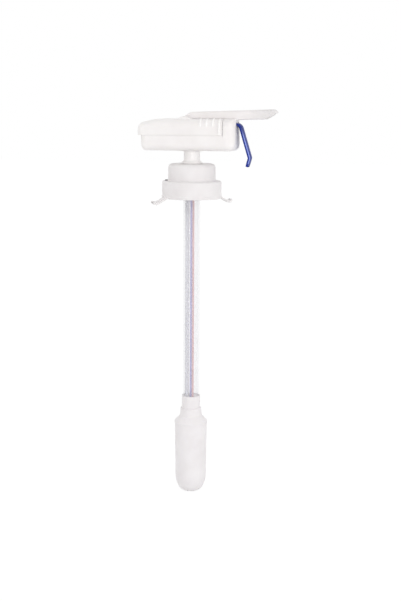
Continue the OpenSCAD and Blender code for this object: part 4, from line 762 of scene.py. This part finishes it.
def coil(centre, way, turns=4, radius=4.6, taper=1.6, wire=0.4, length=4.6):
    """Tapered contact spring along X."""
    steps = 24 * turns
    base = wire + 0.05
    path = []
    for i in range(steps + 1):
        a, r = 2 * math.pi * turns * i / steps, radius - taper * i / steps
        path.append((centre[0] + way * (base + (length - 2 * base) * i / steps), centre[1] + r * math.cos(a),
                     centre[2] + r * math.sin(a)))
    return tube(path, wire, 12, first=(1, 0, 0))


def make_springs():
    rear, front = (REAR_CONTACT_X, -CELL_Y, CELL_Z), (FRONT_CONTACT_X, CELL_Y, CELL_Z)
    piece("rear_spring_skin", coil(rear, 1), "steel", "head", "rear_contact_spring", angle=60)
    piece("front_spring_skin", coil(front, -1), "steel", "head", "front_contact_spring", angle=60)


# Camera, light and stage

def make_camera():
    """Camera at the photograph's place: its long side has 601 of the image's pixels."""
    yaw, tilt, pan, roll = (math.radians(a) for a in (12, 10.5, 0.514, 0.33))
    distance, height, focal_px, long_side = 0.96, 0.0816, 1038, 601
    data = bpy.data.cameras.new("camera")
    data.sensor_width, data.lens = 36, 36 * focal_px / long_side
    data.clip_start, data.clip_end = 0.05, 30
    camera = bpy.data.objects.new("camera", data)
    camera.location = (distance * math.sin(yaw), -distance * math.cos(yaw), height)
    camera.rotation_euler = (Matrix.Rotation(yaw - pan, 3, "Z") @ Matrix.Rotation(math.pi / 2 - tilt, 3, "X")
                             @ Matrix.Rotation(roll, 3, "Z")).to_euler()
    bpy.context.scene.collection.objects.link(camera)
    bpy.context.scene.camera = camera


def lamp(name, place, target, size, power, colour=(1, 1, 1)):
    data = bpy.data.lights.new(name, "AREA")
    data.shape, data.size, data.energy, data.color = "DISK", size, power, colour
    obj = bpy.data.objects.new(name, data)
    obj.location = place
    obj.rotation_euler = (Vector(target) - Vector(place)).to_track_quat("-Z", "Y").to_euler()
    bpy.context.scene.collection.objects.link(obj)


def seen_white(nodes, links):
    """One where the background is seen by the camera, in gloss or through something clear."""
    path = nodes.new("ShaderNodeLightPath")
    either, any_of = nodes.new("ShaderNodeMath"), nodes.new("ShaderNodeMath")
    either.operation = any_of.operation = "MAXIMUM"
    links.new(path.outputs["Is Camera Ray"], either.inputs[0])
    links.new(path.outputs["Is Glossy Ray"], either.inputs[1])
    links.new(either.outputs[0], any_of.inputs[0])
    links.new(path.outputs["Is Transmission Ray"], any_of.inputs[1])
    return any_of.outputs[0]


def make_world():
    world = bpy.data.worlds.new("studio")
    bpy.context.scene.world = world
    world.use_nodes = True
    nodes, links = world.node_tree.nodes, world.node_tree.links
    background = nodes["Background"]
    background.inputs["Color"].default_value = (1, 1, 1, 1)
    strength = nodes.new("ShaderNodeMapRange")
    strength.inputs["To Min"].default_value, strength.inputs["To Max"].default_value = 0.78, 1.0
    links.new(seen_white(nodes, links), strength.inputs["Value"])
    links.new(strength.outputs["Result"], background.inputs["Strength"])


def make_floor():
    """Pale floor that holds a soft shadow and is otherwise as white as the background."""
    mesh = bpy.data.meshes.new("floor")
    half, z = 6.0, (PUMP_LOW - 0.1) * MM
    corners = [(-half, -half, z), (half, -half, z), (half, half, z), (-half, half, z)]
    mesh.from_pydata(corners, [], [(0, 1, 2, 3)])
    floor = bpy.data.objects.new("floor", mesh)
    bpy.context.scene.collection.objects.link(floor)
    mat = bpy.data.materials.new("floor")
    mat.use_nodes = True
    nodes, links = mat.node_tree.nodes, mat.node_tree.links
    shader = nodes["Principled BSDF"]
    place = nodes.new("ShaderNodeTexCoord")
    tone = ramp(nodes, 0.35, 0.65, linear((238, 238, 238)), linear((242, 242, 242)))
    links.new(noise(nodes, links, place.outputs["Object"], 8), tone.inputs["Fac"])
    links.new(tone.outputs["Color"], shader.inputs["Base Color"])
    shader.inputs["Roughness"].default_value = 0.9
    glow, mix = nodes.new("ShaderNodeEmission"), nodes.new("ShaderNodeMixShader")
    share = nodes.new("ShaderNodeMath")
    share.operation = "MULTIPLY"
    share.inputs[1].default_value = 0.8
    glow.inputs["Strength"].default_value = 1.09
    links.new(seen_white(nodes, links), share.inputs[0])
    links.new(share.outputs[0], mix.inputs["Fac"])
    links.new(shader.outputs["BSDF"], mix.inputs[1])
    links.new(glow.outputs["Emission"], mix.inputs[2])
    links.new(mix.outputs["Shader"], nodes["Material Output"].inputs["Surface"])
    floor.data.materials.append(mat)


def make_lamps():
    lamp("key", (-1.0, -0.7, 0.7), (0, 0, 0.0), 0.5, 1.7)
    lamp("front", (0.35, -1.5, 0.05), (0, 0, -0.08), 1.2, 1.9)
    lamp("right", (1.2, -0.55, 0.1), (0, 0, 0.0), 0.8, 2.8)
    lamp("low", (0.3, -1.1, -0.2), (0, 0, 0.03), 0.8, 1.9)


make_camera()
slot_of = {part["node"]: part["material_slot"] for part in frame["record"]["subparts"]}
for node, obj in frame["nodes"].items():
    obj.data.materials.clear()
    obj.data.materials.append(MATERIALS[slot_of[node]])
make_collar()
make_stem()
make_head()
make_lever()
make_return_spring()
make_riser()
make_pump()
make_springs()
make_world()
make_floor()
make_lamps()
bpy.context.scene.view_settings.view_transform = "Standard"
